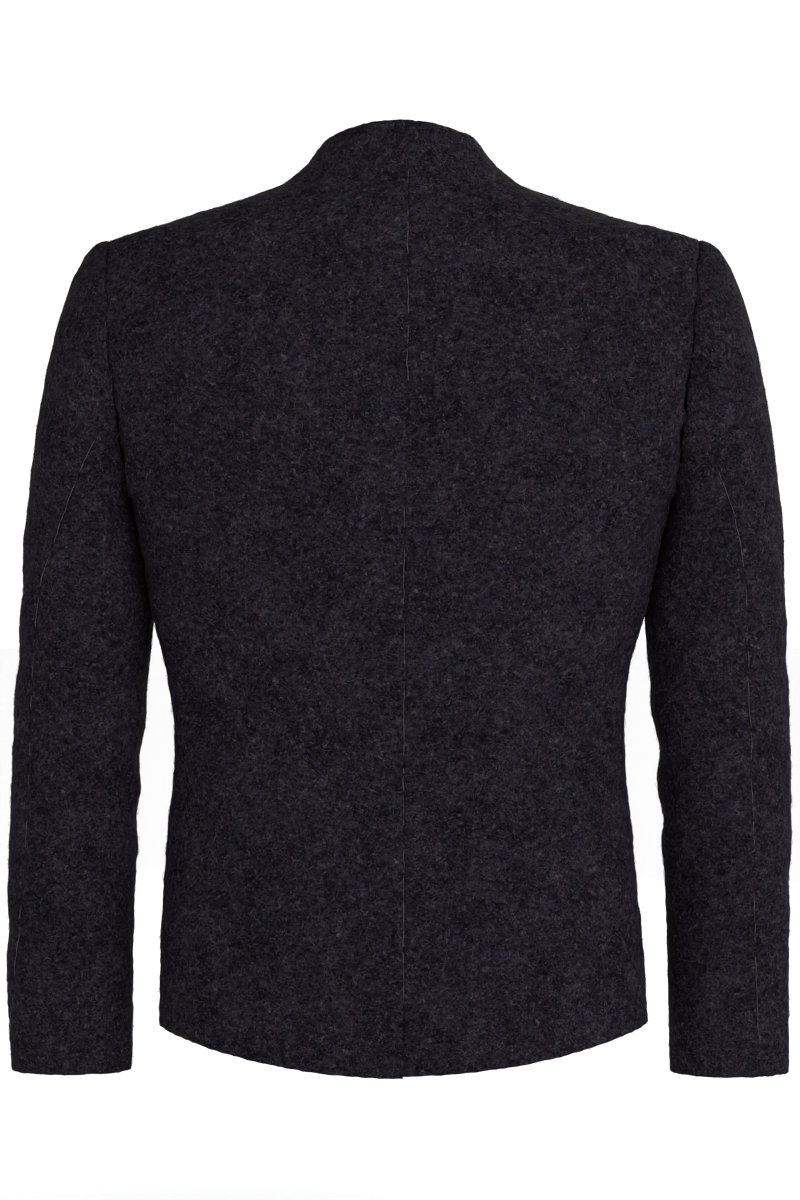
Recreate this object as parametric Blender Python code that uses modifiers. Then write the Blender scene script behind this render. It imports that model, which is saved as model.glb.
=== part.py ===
"""Tyrolean loden jacket: a man's short boiled wool jacket with a standing collar cut in one with the body.

The jacket keeps the hollow form it has when it is worn. It is made of eight cut pieces of thick raw-edged
cloth, with a seam down the centre of the back, and five plain buttons close its front. +Z is up, the front
faces -Y and the wearer's left is +X. The origin is the nape, at the inside of the centre-back seam where
the collar starts, because the jacket hangs from the wearer's nape and shoulders.

A body piece is a loft of level rows. Each row runs from the centre of the jacket round to the outer edge of
the piece, which is the side seam, then the armhole, the shoulder seam and the side of the collar. A sleeve
is a loft from the armhole to a ring round the upper arm, and on through rings down to the cuff.
"""

import math
from typing import NamedTuple

import bmesh
import bpy
import numpy as np
from mathutils import Matrix, Vector

# All sizes and places below are in millimetres, and MM turns them into metres.
MM = 0.001

CLOTH = 2.2
SEAM_GAP = 0.3
FRONT_OVERLAP = 20.0
LAP_LIFT = CLOTH + 0.8
LAP_STARTS = 50.0
BACK_COLUMNS = 10
FRONT_COLUMNS = 9
ROW_FLATNESS = 2.6
# The higher this is, the closer to the outer edge its corners fade out.
CORNER_REACH = 12

CAP_RINGS = 6
CAP_SPRING = 0.46
CAP_FALL = 1.02
CAP_DROP = 1.3
UNDERARM_DROP = 0.6
CAP_ROUNDING = 0.15

BUTTON_DIAMETER = 20.0
BUTTON_THICKNESS = 4.4
BUTTON_HOLE = 2.2
BUTTON_HOLE_CIRCLE = 6.0
BUTTON_HOLES = 4
BUTTON_HOLE_SIDES = 8
BUTTON_STANDOFF = 0.5
BUTTON_HEIGHTS = (-112.0, -212.0, -312.0, -412.0, -512.0)
BUTTON_STEPS = 16
BUTTON_WELD = 0.05

CLOTH_COLOUR = (0.0137, 0.0116, 0.0168)
BUTTON_COLOUR = (0.075, 0.045, 0.026)


class BodySection(NamedTuple):
    """One level row of the body: its ends at the back seam, the outer edges and the front.

    fullness shapes the row between its ends. At 1 it is a quarter of an ellipse, above 1 it is squarer, and
    at 0 it is flat in the middle and runs straight out to its edge, as across the shoulder blades. right_out
    and right_up are how much further out and up the edge lies on the right side, which hangs a little
    differently. steps is how many rows of the loft lead up to the next section.
    """

    name: str
    back_x: float
    back_y: float
    back_z: float
    back_edge_x: float
    back_edge_y: float
    front_edge_x: float
    front_edge_y: float
    edge_z: float
    front_y: float
    front_z: float
    back_fullness: float
    front_fullness: float
    right_out: float
    right_up: float
    steps: int


BODY = (
    # name, back x y z, back edge x y, front edge x y, edge z, front y z, fullness, right out up, steps
    BodySection("hem", -1.5, 40, -686, 190, -66, 190, -66, -655, -214, -664, 1.1, 1.08, 4, 2, 1),
    BodySection("seat", -1.5, 37, -610, 188.5, -66, 188.5, -66, -590, -213, -600, 1.1, 1.08, 1, 0, 1),
    BodySection("hip", -1.7, 28, -525, 184.3, -66, 184.3, -66, -520, -210, -522, 1.1, 1.08, -1.8, 0, 2),
    BodySection("waist", -1.9, 20, -437, 177.4, -66, 177.4, -66, -437, -206, -437, 1.08, 1.08, -2, 0, 1),
    BodySection("high waist", -2, 23, -382, 183.2, -64, 183.2, -64, -382, -208, -382, 1.12, 1.08, -5, 0, 1),
    BodySection("ribs", -2, 31, -332, 194.5, -58, 194.5, -58, -332, -210, -332, 1.2, 1.08, -3.4, 0, 1),
    BodySection("chest", -2.2, 39, -284, 203, -57, 203, -57, -282, -212, -282, 1.26, 1.05, -1, 0, 1),
    BodySection("underarm", -2.6, 44, -243, 211.5, -61, 211.5, -61, -243, -211, -246, 1.32, 1.0, 0, 0, 2),
    BodySection("armhole turn", -3.2, 46, -223, 213.5, -43, 207.5, -98, -237, -210, -228, 1.02, 0.9, 0, 0, 2),
    BodySection("armhole low", -3.6, 47, -202, 216, -27, 199, -126, -217, -208, -209, 0.66, 0.66, 0, 0, 2),
    BodySection("back notch", -4.4, 47, -164, 221, -12, 193, -141, -172, -202, -180, 0.28, 0.35, 0, 0, 2),
    BodySection("high blade", -5, 41, -113, 226, -11, 195, -140, -117, -192, -142, 0.18, 0.25, 1, 0, 2),
    BodySection("armhole head", -5.2, 30, -71, 229, -34, 213, -111, -67, -180, -113, 0.3, 0.4, 2, 0, 1),
    BodySection("shoulder tip", -5.3, 22, -47, 229, -66, 229, -66, -40.5, -170, -96, 0.9, 0.9, 4.5, 1.2, 2),
    BodySection("mid shoulder", -5.4, 12, -22, 160, -65, 160, -65, -19, -158, -80, 1, 1, 0, -1, 3),
    BodySection("neck base", -5.4, 3, 0, 90.5, -62, 90.5, -62, 5, -146, -68, 1, 1, 0, 0, 2),
    BodySection("collar", -4.8, -1.5, 17, 73, -63, 73, -63, 20.5, -141, -57, 1, 1, 0, 0, 1),
    BodySection("collar top", -3.8, -8, 49, 60, -66, 60, -66, 38, -134, -34, 1, 1, 0, 0, 0),
)
# The outer edge turns a corner at these sections, so it is smooth only between them.
UNDERARM = 7
BACK_NOTCH = 10
SHOULDER_TIP = 13
FRONT_NOTCH = 9


class ArmSection(NamedTuple):
    """One level ring of a sleeve: its centre, half its width and depth, and where its two seams lie.

    A seam's place is an angle round the ring, in degrees from straight out, with the back positive.
    """

    name: str
    x: float
    y: float
    z: float
    half_width: float
    half_depth: float
    back_seam: float
    front_seam: float
    steps: int


LEFT_ARM = (
    #           name           centre: x     y     z   half: w     d   seams: back front
    ArmSection("upper arm", 249.8, -86, -285, 48.2, 65, 61.5, -118, 2),
    ArmSection("below armpit", 248.8, -88, -335, 52.3, 63.5, 47, -116, 1),
    ArmSection("above elbow", 252.8, -88, -386, 51.5, 61, 46, -114, 2),
    ArmSection("elbow", 258.2, -88, -480, 50.2, 56.5, 48, -112, 2),
    ArmSection("forearm", 261.7, -94, -559, 49.7, 51, 43, -112, 1),
    ArmSection("wrist", 263.4, -103, -621, 49.6, 46.5, 31.5, -112, 2),
    ArmSection("cuff", 263.4, -117, -697, 47.4, 42, -4, -112, 0),
)
RIGHT_ARM = (
    ArmSection("upper arm", 251.8, -86, -285, 50.6, 65, 76.5, -118, 2),
    ArmSection("below armpit", 249.3, -88, -335, 55.0, 63.5, 69, -116, 1),
    ArmSection("above elbow", 252.0, -88, -386, 54.0, 61, 70, -114, 2),
    ArmSection("elbow", 257.2, -88, -480, 51.2, 56.5, 71.5, -112, 2),
    ArmSection("forearm", 259.4, -94, -559, 48.6, 51, 69.5, -112, 1),
    ArmSection("wrist", 260.6, -103, -621, 47.6, 46.5, 67, -112, 2),
    ArmSection("cuff", 262.8, -117, -699, 46.8, 42, 64.5, -112, 0),
)


def smooth(values, positions):
    """Reads a table at fractional row numbers, smoothly and with no swing past its rows."""
    table = np.asarray(values, float)
    if table.ndim == 1:
        table = table[:, None]
    rise = np.diff(table, axis=0)
    slope = np.empty_like(table)
    product = rise[:-1] * rise[1:]
    total = rise[:-1] + rise[1:]
    safe = np.where(product > 0, total, 1.0)
    slope[1:-1] = np.where(product > 0, 2 * product / safe, 0.0)
    slope[0] = 1.5 * rise[0] - 0.5 * slope[1]
    slope[-1] = 1.5 * rise[-1] - 0.5 * slope[-2]
    place = np.asarray(positions, float)
    low = np.clip(place.astype(int), 0, len(table) - 2)
    t = (place - low)[:, None]
    return (
        table[low] * (1 + 2 * t) * (1 - t) ** 2
        + table[low + 1] * t**2 * (3 - 2 * t)
        + slope[low] * t * (1 - t) ** 2
        + slope[low + 1] * t**2 * (t - 1)
    )


def smooth_between(values, positions, corners):
    """Reads a table as smooth() does, but lets it turn a corner at the given rows."""
    table = np.asarray(values, float)
    ends = [0, *corners, len(table) - 1]
    found = np.empty((len(positions), table.shape[1]))
    for first, last in zip(ends[:-1], ends[1:]):
        inside = (positions >= first) & (positions <= last)
        found[inside] = smooth(table[first : last + 1], positions[inside] - first)
    return found


def row_numbers(sections):
    """The fractional table rows at which the loft has a row."""
    numbers = []
    for index, section in enumerate(sections[:-1]):
        numbers.extend(index + step / section.steps for step in range(section.steps))
    return np.array([*numbers, len(sections) - 1])


BODY_ROWS = row_numbers(BODY)


def loft_row(section_index):
    """The loft row that lies on a section."""
    return int(np.flatnonzero(BODY_ROWS == section_index)[0])


def grid_normals(grid, closed=False):
    """Unit normals of a grid of points, rows by columns, along column direction cross row direction."""
    along = np.gradient(grid, axis=0)
    if closed:
        across = np.roll(grid, -1, axis=1) - np.roll(grid, 1, axis=1)
    else:
        across = np.gradient(grid, axis=1)
    normal = np.cross(across, along)
    return normal / np.linalg.norm(normal, axis=2, keepdims=True)


def body_grid(face, side):
    """The outer surface of a body piece, rows by columns, from the centre of the jacket to its outer edge."""
    centre = smooth(
        [(s.back_x, s.back_y, s.back_z, s.back_fullness) for s in BODY]
        if face == "back"
        else [(0.0, s.front_y, s.front_z, s.front_fullness) for s in BODY],
        BODY_ROWS,
    )
    edge_table = (
        [(s.back_edge_x, s.back_edge_y, s.edge_z) for s in BODY]
        if face == "back"
        else [(s.front_edge_x, s.front_edge_y, s.edge_z) for s in BODY]
    )
    edge = smooth_between(edge_table, BODY_ROWS, (UNDERARM, SHOULDER_TIP))
    softened = smooth(edge_table, BODY_ROWS)
    if side < 0:
        hang = smooth([(s.right_out, 0, s.right_up) for s in BODY], BODY_ROWS)
        edge += hang
        softened += hang
    if face == "back":
        start = np.arcsin(side * centre[:, 0] / edge[:, 0])[:, None]
        columns = BACK_COLUMNS
    else:
        start = np.arcsin(FRONT_OVERLAP / edge[:, 0])[:, None]
        columns = FRONT_COLUMNS
    angle = start + (math.pi / 2 - start) * np.linspace(0, 1, columns + 1)
    if face == "front":
        angle = np.concatenate([-start, np.zeros_like(start), angle], axis=1)
    out = np.sin(angle)
    fullness = centre[:, 3:4]
    share = fullness * np.cos(angle) + (1 - fullness) * (1 - np.abs(out) ** ROW_FLATNESS)
    # The corners of the outer edge fade out towards the middle of the piece.
    held = (np.abs(out) ** CORNER_REACH)[:, :, None]
    edge_x, edge_y, edge_z = np.moveaxis(
        softened[:, None] * (1 - held) + edge[:, None] * held, 2, 0
    )
    x = edge_x * out
    y = edge_y + (centre[:, 1:2] - edge_y) * share
    z = centre[:, 2:3] + (edge_z - centre[:, 2:3]) * out**2
    return np.stack([x, y, z], axis=2)


def body_normals(back, front):
    """Outward normals of a back and a front, which share those of the seam between them."""
    back_normal = -grid_normals(back)
    front_normal = grid_normals(front)
    # The back has no sideways slope at its centre seam, where its two halves meet.
    back_normal[:, 0, 0] = 0
    back_normal[:, 0] /= np.linalg.norm(back_normal[:, 0], axis=1, keepdims=True)
    joined = np.linalg.norm(back[:, -1] - front[:, -1], axis=1) < 1e-6
    shared = back_normal[joined, -1] + front_normal[joined, -1]
    shared /= np.linalg.norm(shared, axis=1, keepdims=True)
    back_normal[joined, -1] = shared
    front_normal[joined, -1] = shared
    return back_normal, front_normal


def lift_lap(grid, normal):
    """Raises the left front where it laps over the right one."""
    share = np.clip((LAP_STARTS - grid[:, :, 0]) / (LAP_STARTS - FRONT_OVERLAP), 0, 1)
    lift = LAP_LIFT * share**2 * (3 - 2 * share)
    return grid + normal * lift[:, :, None]


def trim(grid, column, inner, amount):
    """Draws one edge column of a grid back towards its inner neighbour, by an amount square to the edge."""
    step = grid[:, inner] - grid[:, column]
    along = np.gradient(grid[:, column], axis=0)
    along /= np.linalg.norm(along, axis=1, keepdims=True)
    square = step - along * (step * along).sum(axis=1, keepdims=True)
    grid[:, column] += step * (amount / np.linalg.norm(square, axis=1))[:, None]


def sleeve_grid(back, front, side):
    """The outer surface of a sleeve, rings by columns: from the underarm up the back and down the front."""
    low, tip = loft_row(UNDERARM), loft_row(SHOULDER_TIP)
    loop = np.concatenate([back[low:tip, -1], front[tip:low:-1, -1]])
    middle = loop.mean(axis=0)
    radial = (loop - middle) * (0, 1, 1)
    radial /= np.linalg.norm(radial, axis=1, keepdims=True)
    upward = radial[:, 2]
    drop = CAP_DROP * (1 - np.abs(upward)) + UNDERARM_DROP * np.clip(-upward, 0, 1)
    leaving = np.array([1.0, 0, 0]) + CAP_ROUNDING * radial - drop[:, None] * (0, 0, 1)
    leaving /= np.linalg.norm(leaving, axis=1, keepdims=True)
    loop = loop + SEAM_GAP * leaving

    sections = LEFT_ARM if side > 0 else RIGHT_ARM
    table = smooth([section[1:-1] for section in sections], row_numbers(sections))

    # Columns keep their share of the armhole between the underarm, the back seam and the front seam.
    length = np.linalg.norm(np.roll(loop, -1, axis=0) - loop, axis=1)
    along = np.concatenate([[0], np.cumsum(length)])
    back_mark = loft_row(BACK_NOTCH) - low
    front_mark = len(loop) - (loft_row(FRONT_NOTCH) - low)
    marks = [0, back_mark, front_mark, len(loop)]
    arm = np.empty((len(table), len(loop), 3))
    for ring, (x, y, z, half_width, half_depth, back_seam, front_seam) in enumerate(table):
        turns = np.interp(along[:-1], along[marks], [180, back_seam, front_seam, -180])
        angles = np.radians(turns)
        arm[ring, :, 0] = x + half_width * np.cos(angles)
        arm[ring, :, 1] = y + half_depth * np.sin(angles)
        arm[ring, :, 2] = z

    # The cap springs out of the armhole and falls into the first ring of the arm.
    span = np.linalg.norm(arm[0] - loop, axis=1)[:, None]
    falling = arm[1] - arm[0]
    falling /= np.linalg.norm(falling, axis=1, keepdims=True)
    cap = []
    for t in np.arange(CAP_RINGS) / CAP_RINGS:
        cap.append(
            loop * (1 + 2 * t) * (1 - t) ** 2
            + arm[0] * t**2 * (3 - 2 * t)
            + leaving * span * CAP_SPRING * t * (1 - t) ** 2
            + falling * span * CAP_FALL * t**2 * (t - 1)
        )
    return np.concatenate([np.array(cap), arm]), back_mark, front_mark


def material(name, colour, roughness):
    """A plain non-metal finish."""
    made = bpy.data.materials.new(name)
    made.use_nodes = True
    shader = made.node_tree.nodes["Principled BSDF"]
    shader.inputs["Base Color"].default_value = (*colour, 1)
    shader.inputs["Roughness"].default_value = roughness
    shader.inputs["Metallic"].default_value = 0
    return made


def wall(name, outer, normal, side, finish, collection):
    """A closed wall of cloth: an outer grid of points, an inner one a cloth's thickness in, and four rims."""
    inner = outer - normal * CLOTH
    mirror = np.array([side, 1, 1]) * MM
    rows, columns = outer.shape[:2]
    mesh = bmesh.new()
    layers = []
    for grid in (outer, inner):
        layers.append([[mesh.verts.new(point) for point in row] for row in grid * mirror])
    for row in range(rows - 1):
        for column in range(columns - 1):
            for layer in layers:
                mesh.faces.new(
                    (
                        layer[row][column],
                        layer[row][column + 1],
                        layer[row + 1][column + 1],
                        layer[row + 1][column],
                    )
                )
    rim = [(0, column) for column in range(columns - 1)]
    rim += [(row, columns - 1) for row in range(rows - 1)]
    rim += [(rows - 1, column) for column in range(columns - 1, 0, -1)]
    rim += [(row, 0) for row in range(rows - 1, 0, -1)]
    for (row_a, column_a), (row_b, column_b) in zip(rim, rim[1:] + rim[:1]):
        mesh.faces.new(
            (
                layers[0][row_a][column_a],
                layers[0][row_b][column_b],
                layers[1][row_b][column_b],
                layers[1][row_a][column_a],
            )
        )
    bmesh.ops.recalc_face_normals(mesh, faces=mesh.faces)
    data = bpy.data.meshes.new(name)
    mesh.to_mesh(data)
    mesh.free()
    data.materials.append(finish)
    data.shade_smooth()
    data.set_sharp_from_angle(angle=math.radians(50))
    piece = bpy.data.objects.new(name, data)
    collection.objects.link(piece)
    return piece


def make_side(side, suffix, finish, collection):
    """The back, front and sleeve of one side. It returns the outer grid of the front and its normals."""
    back = body_grid("back", side)
    front = body_grid("front", side)
    back_normal, front_normal = body_normals(back, front)
    sleeve, back_mark, front_mark = sleeve_grid(back, front, side)

    trim(back, 0, 1, SEAM_GAP / 2)
    trim(back, -1, -2, SEAM_GAP / 2)
    trim(front, -1, -2, SEAM_GAP / 2)
    if side > 0:
        front = lift_lap(front, front_normal)
    wall(f"back_{suffix}", back, back_normal, side, finish, collection)
    wall(f"front_{suffix}", front, front_normal, side, finish, collection)

    sleeve_normal = grid_normals(sleeve, closed=True)
    around = len(sleeve[0])
    upper = np.arange(back_mark, front_mark + 1)
    under = np.arange(front_mark, around + back_mark + 1) % around
    for name, chosen in (("upper_sleeve", upper), ("under_sleeve", under)):
        piece = sleeve[:, chosen].copy()
        trim(piece, 0, 1, SEAM_GAP / 2)
        trim(piece, -1, -2, SEAM_GAP / 2)
        wall(f"{name}_{suffix}", piece, sleeve_normal[:, chosen], side, finish, collection)
    return front, front_normal


def button_mesh(finish, collection):
    """A turned button with a rim, a dished face and sewing holes, lying on the plane z = 0."""
    radius = BUTTON_DIAMETER / 2
    profile = (
        (0.0, BUTTON_THICKNESS * 0.55),
        (radius * 0.58, BUTTON_THICKNESS * 0.62),
        (radius * 0.78, BUTTON_THICKNESS),
        (radius * 0.94, BUTTON_THICKNESS * 0.9),
        (radius, BUTTON_THICKNESS * 0.5),
        (radius * 0.8, 0.0),
        (0.0, 0.0),
    )
    data = bpy.data.meshes.new("button_profile")
    points = [(x * MM, 0, z * MM) for x, z in profile]
    data.from_pydata(points, [(i, i + 1) for i in range(len(points) - 1)], [])
    turned = bpy.data.objects.new("button_turned", data)
    collection.objects.link(turned)
    screw = turned.modifiers.new("Screw", "SCREW")
    screw.steps = BUTTON_STEPS
    screw.render_steps = BUTTON_STEPS
    screw.use_merge_vertices = True
    screw.merge_threshold = BUTTON_WELD * MM
    for index in range(BUTTON_HOLES):
        angle = math.tau * (index + 0.5) / BUTTON_HOLES
        bpy.ops.mesh.primitive_cylinder_add(
            vertices=BUTTON_HOLE_SIDES,
            radius=BUTTON_HOLE / 2 * MM,
            depth=3 * BUTTON_THICKNESS * MM,
            location=(
                BUTTON_HOLE_CIRCLE / 2 * MM * math.cos(angle),
                BUTTON_HOLE_CIRCLE / 2 * MM * math.sin(angle),
                0,
            ),
        )
        cutter = bpy.context.object
        cutter.name = f"button_hole_cutter_{index + 1}"
        cutter.hide_render = True
        cutter.display_type = "WIRE"
        cut = turned.modifiers.new(f"Hole {index + 1}", "BOOLEAN")
        cut.operation = "DIFFERENCE"
        cut.object = cutter
    graph = bpy.context.evaluated_depsgraph_get()
    made = bpy.data.meshes.new_from_object(turned.evaluated_get(graph))
    made.name = "button"
    made.materials.clear()
    made.materials.append(finish)
    made.shade_smooth()
    made.set_sharp_from_angle(angle=math.radians(35))
    for helper in [turned] + [o for o in bpy.data.objects if o.name.startswith("button_hole_cutter")]:
        bpy.data.objects.remove(helper, do_unlink=True)
    return made


def make_buttons(front, normal, finish, collection):
    """The buttons down the centre line of the left front, each flat on the cloth there."""
    mesh = button_mesh(finish, collection)
    centre_line = []
    for points, normals in zip(front, normal):
        place = [np.interp(0, points[:, 0], points[:, axis]) for axis in (1, 2)]
        facing = [np.interp(0, points[:, 0], normals[:, axis]) for axis in (1, 2)]
        centre_line.append(place + facing)
    line_y, line_z, facing_y, facing_z = np.array(centre_line).T
    for number, height in enumerate(BUTTON_HEIGHTS, start=1):
        y, normal_y, normal_z = (
            np.interp(height, line_z, values) for values in (line_y, facing_y, facing_z)
        )
        outward = Vector((0, normal_y, normal_z)).normalized()
        across = Vector((1, 0, 0))
        turn = Matrix((across, outward.cross(across), outward)).transposed().to_4x4()
        place = Vector((0, y, height)) + outward * BUTTON_STANDOFF
        button = bpy.data.objects.new(f"button_{number}", mesh)
        button.matrix_world = Matrix.Translation(place * MM) @ turn
        collection.objects.link(button)


def main():
    for leftover in list(bpy.data.objects):
        bpy.data.objects.remove(leftover, do_unlink=True)
    jacket = bpy.data.collections.new("loden_jacket")
    bpy.context.scene.collection.children.link(jacket)
    cloth = material("boiled_wool_loden", CLOTH_COLOUR, 0.95)
    horn = material("horn", BUTTON_COLOUR, 0.35)
    front, normal = make_side(1, "left", cloth, jacket)
    make_side(-1, "right", cloth, jacket)
    make_buttons(front, normal, horn, jacket)


main()
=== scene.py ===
"""Looks of a tyrolean loden jacket: fuzzy boiled wool, light grey seam threads and horn buttons.

Each cut piece of cloth is a thin closed wall on the form of its solid. The wall is lofted again on a finer
grid from the same sections, then creased, felted, grooved along its seams and left ragged along its raw
edges. Loose wool fibres, seam stitches, button threads and buttonholes are joined meshes of thin closed
strands. Sizes are in millimetres and MM turns them into metres. +Z is up, the front of the jacket faces -Y,
and the origin is the wearer's nape.
"""

import logging
import math
from dataclasses import dataclass, field
from enum import Enum

import bpy
import numpy as np
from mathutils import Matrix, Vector


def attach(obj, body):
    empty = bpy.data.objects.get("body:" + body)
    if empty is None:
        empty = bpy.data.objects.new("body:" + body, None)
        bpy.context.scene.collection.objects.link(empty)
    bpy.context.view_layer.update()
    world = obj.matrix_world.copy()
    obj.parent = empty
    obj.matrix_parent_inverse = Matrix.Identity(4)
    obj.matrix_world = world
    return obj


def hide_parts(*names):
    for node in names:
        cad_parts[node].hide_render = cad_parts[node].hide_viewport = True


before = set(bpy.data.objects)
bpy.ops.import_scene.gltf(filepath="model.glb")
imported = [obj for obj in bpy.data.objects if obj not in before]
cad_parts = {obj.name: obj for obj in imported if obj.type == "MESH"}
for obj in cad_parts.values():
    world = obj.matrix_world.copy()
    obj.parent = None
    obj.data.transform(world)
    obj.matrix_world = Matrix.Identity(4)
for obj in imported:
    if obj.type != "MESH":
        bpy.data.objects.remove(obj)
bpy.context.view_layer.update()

LOG = logging.getLogger("loden_jacket")
Array = np.ndarray
Point = tuple[float, float, float]
Tree = bpy.types.NodeTree
Source = bpy.types.Node | bpy.types.NodeSocket

# All sizes and places are in millimetres, and MM turns them into metres.
MM = 0.001
CLOTH = 2.2
FRONT_OVERLAP = 20.0
LAP_LIFT = CLOTH + 0.8
LAP_STARTS = 50.0
# The lowest and the highest stitch of the seam down the middle of the back.
CENTRE_SEAM = (-636.0, 12.0)
# The power of the flat part of a level row, which is flatter in its middle the higher this is.
ROW_FLATNESS = 2.6
# The higher this is, the closer to the outer edge its corners fade out.
CORNER_REACH = 12


class Face(Enum):
    """Which half of the body a piece covers."""

    BACK = "back"
    FRONT = "front"


class Side(Enum):
    """The wearer's side, with the sign of X on that side."""

    LEFT = 1
    RIGHT = -1

    @property
    def word(self) -> str:
        """The side's name in lower case."""
        return self.name.lower()


class Layer(Enum):
    """The layers of the felt's noise, each read this many millimetres away so that no two look alike."""

    LUMPS = 0
    KINK = 5
    SINK = 17
    RAGGED = 31
    WAVER = 43
    FINE_RAGGED = 57
    FINE_SINK = 71
    INSIDE = 97
    VALLEY_WAVER = 131
    VALLEY_DEPTH = 173
    FINE_LUMPS = 211
    SWAY = 401
    FINE_SWAY = 433


class Edge(Enum):
    """One edge of a piece's grid: the axis it is counted along, and whether it is the first or the last."""

    LOWEST_ROW = (0, 0)
    HIGHEST_ROW = (0, -1)
    FIRST_COLUMN = (1, 0)
    LAST_COLUMN = (1, -1)


@dataclass(frozen=True)
class BodySection:
    """One level row of the body: its ends at the back seam, the outer edges and the front."""

    name: str
    back_x: float
    back_y: float
    back_z: float
    back_edge_x: float
    back_edge_y: float
    front_edge_x: float
    front_edge_y: float
    edge_z: float
    front_y: float
    front_z: float
    back_fullness: float
    front_fullness: float
    right_out: float
    right_up: float


@dataclass(frozen=True)
class ArmSection:
    """One level ring of a sleeve: its centre, half its width and depth, and the angles of its two seams."""

    name: str
    x: float
    y: float
    z: float
    half_width: float
    half_depth: float
    back_seam: float
    front_seam: float


BODY = (
    # name, back x y z, back edge x y, front edge x y, edge z, front y z, fullness, right out up
    BodySection("hem", -1.5, 40, -686, 190, -66, 190, -66, -655, -214, -664, 1.1, 1.08, 4, 2),
    BodySection("seat", -1.5, 37, -610, 188.5, -66, 188.5, -66, -590, -213, -600, 1.1, 1.08, 1, 0),
    BodySection("hip", -1.7, 28, -525, 184.3, -66, 184.3, -66, -520, -210, -522, 1.1, 1.08, -1.8, 0),
    BodySection("waist", -1.9, 20, -437, 177.4, -66, 177.4, -66, -437, -206, -437, 1.08, 1.08, -2, 0),
    BodySection("high waist", -2, 23, -382, 183.2, -64, 183.2, -64, -382, -208, -382, 1.12, 1.08, -5, 0),
    BodySection("ribs", -2, 31, -332, 194.5, -58, 194.5, -58, -332, -210, -332, 1.2, 1.08, -3.4, 0),
    BodySection("chest", -2.2, 39, -284, 203, -57, 203, -57, -282, -212, -282, 1.26, 1.05, -1, 0),
    BodySection("underarm", -2.6, 44, -243, 211.5, -61, 211.5, -61, -243, -211, -246, 1.32, 1.0, 0, 0),
    BodySection("armhole turn", -3.2, 46, -223, 213.5, -43, 207.5, -98, -237, -210, -228, 1.02, 0.9, 0, 0),
    BodySection("armhole low", -3.6, 47, -202, 216, -27, 199, -126, -217, -208, -209, 0.66, 0.66, 0, 0),
    BodySection("back notch", -4.4, 47, -164, 221, -12, 193, -141, -172, -202, -180, 0.28, 0.35, 0, 0),
    BodySection("high blade", -5, 41, -113, 226, -11, 195, -140, -117, -192, -142, 0.18, 0.25, 1, 0),
    BodySection("armhole head", -5.2, 30, -71, 229, -34, 213, -111, -67, -180, -113, 0.3, 0.4, 2, 0),
    BodySection("shoulder tip", -5.3, 22, -47, 229, -66, 229, -66, -40.5, -170, -96, 0.9, 0.9, 4.5, 1.2),
    BodySection("mid shoulder", -5.4, 12, -22, 160, -65, 160, -65, -19, -158, -80, 1, 1, 0, -1),
    BodySection("neck base", -5.4, 3, 0, 90.5, -62, 90.5, -62, 5, -146, -68, 1, 1, 0, 0),
    BodySection("collar", -4.8, -1.5, 17, 73, -63, 73, -63, 20.5, -141, -57, 1, 1, 0, 0),
    BodySection("collar top", -3.8, -8, 49, 60, -66, 60, -66, 38, -134, -34, 1, 1, 0, 0),
)
UNDERARM = 7
FRONT_NOTCH = 9
BACK_NOTCH = 10
SHOULDER_TIP = 13

ARMS = {
    # name, centre x y z, half width, half depth, back seam, front seam
    Side.LEFT: (
        ArmSection("upper arm", 249.8, -86, -285, 48.2, 65, 61.5, -118),
        ArmSection("below armpit", 248.8, -88, -335, 52.3, 63.5, 47, -116),
        ArmSection("above elbow", 252.8, -88, -386, 51.5, 61, 46, -114),
        ArmSection("elbow", 258.2, -88, -480, 50.2, 56.5, 48, -112),
        ArmSection("forearm", 261.7, -94, -559, 49.7, 51, 43, -112),
        ArmSection("wrist", 263.4, -103, -621, 49.6, 46.5, 31.5, -112),
        ArmSection("cuff", 263.4, -117, -697, 47.4, 42, -4, -112),
    ),
    Side.RIGHT: (
        ArmSection("upper arm", 251.8, -86, -285, 50.6, 65, 76.5, -118),
        ArmSection("below armpit", 249.3, -88, -335, 55.0, 63.5, 69, -116),
        ArmSection("above elbow", 252.0, -88, -386, 54.0, 61, 70, -114),
        ArmSection("elbow", 257.2, -88, -480, 51.2, 56.5, 71.5, -112),
        ArmSection("forearm", 259.4, -94, -559, 48.6, 51, 69.5, -112),
        ArmSection("wrist", 260.6, -103, -621, 47.6, 46.5, 67, -112),
        ArmSection("cuff", 262.8, -117, -699, 46.8, 42, 64.5, -112),
    ),
}


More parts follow.
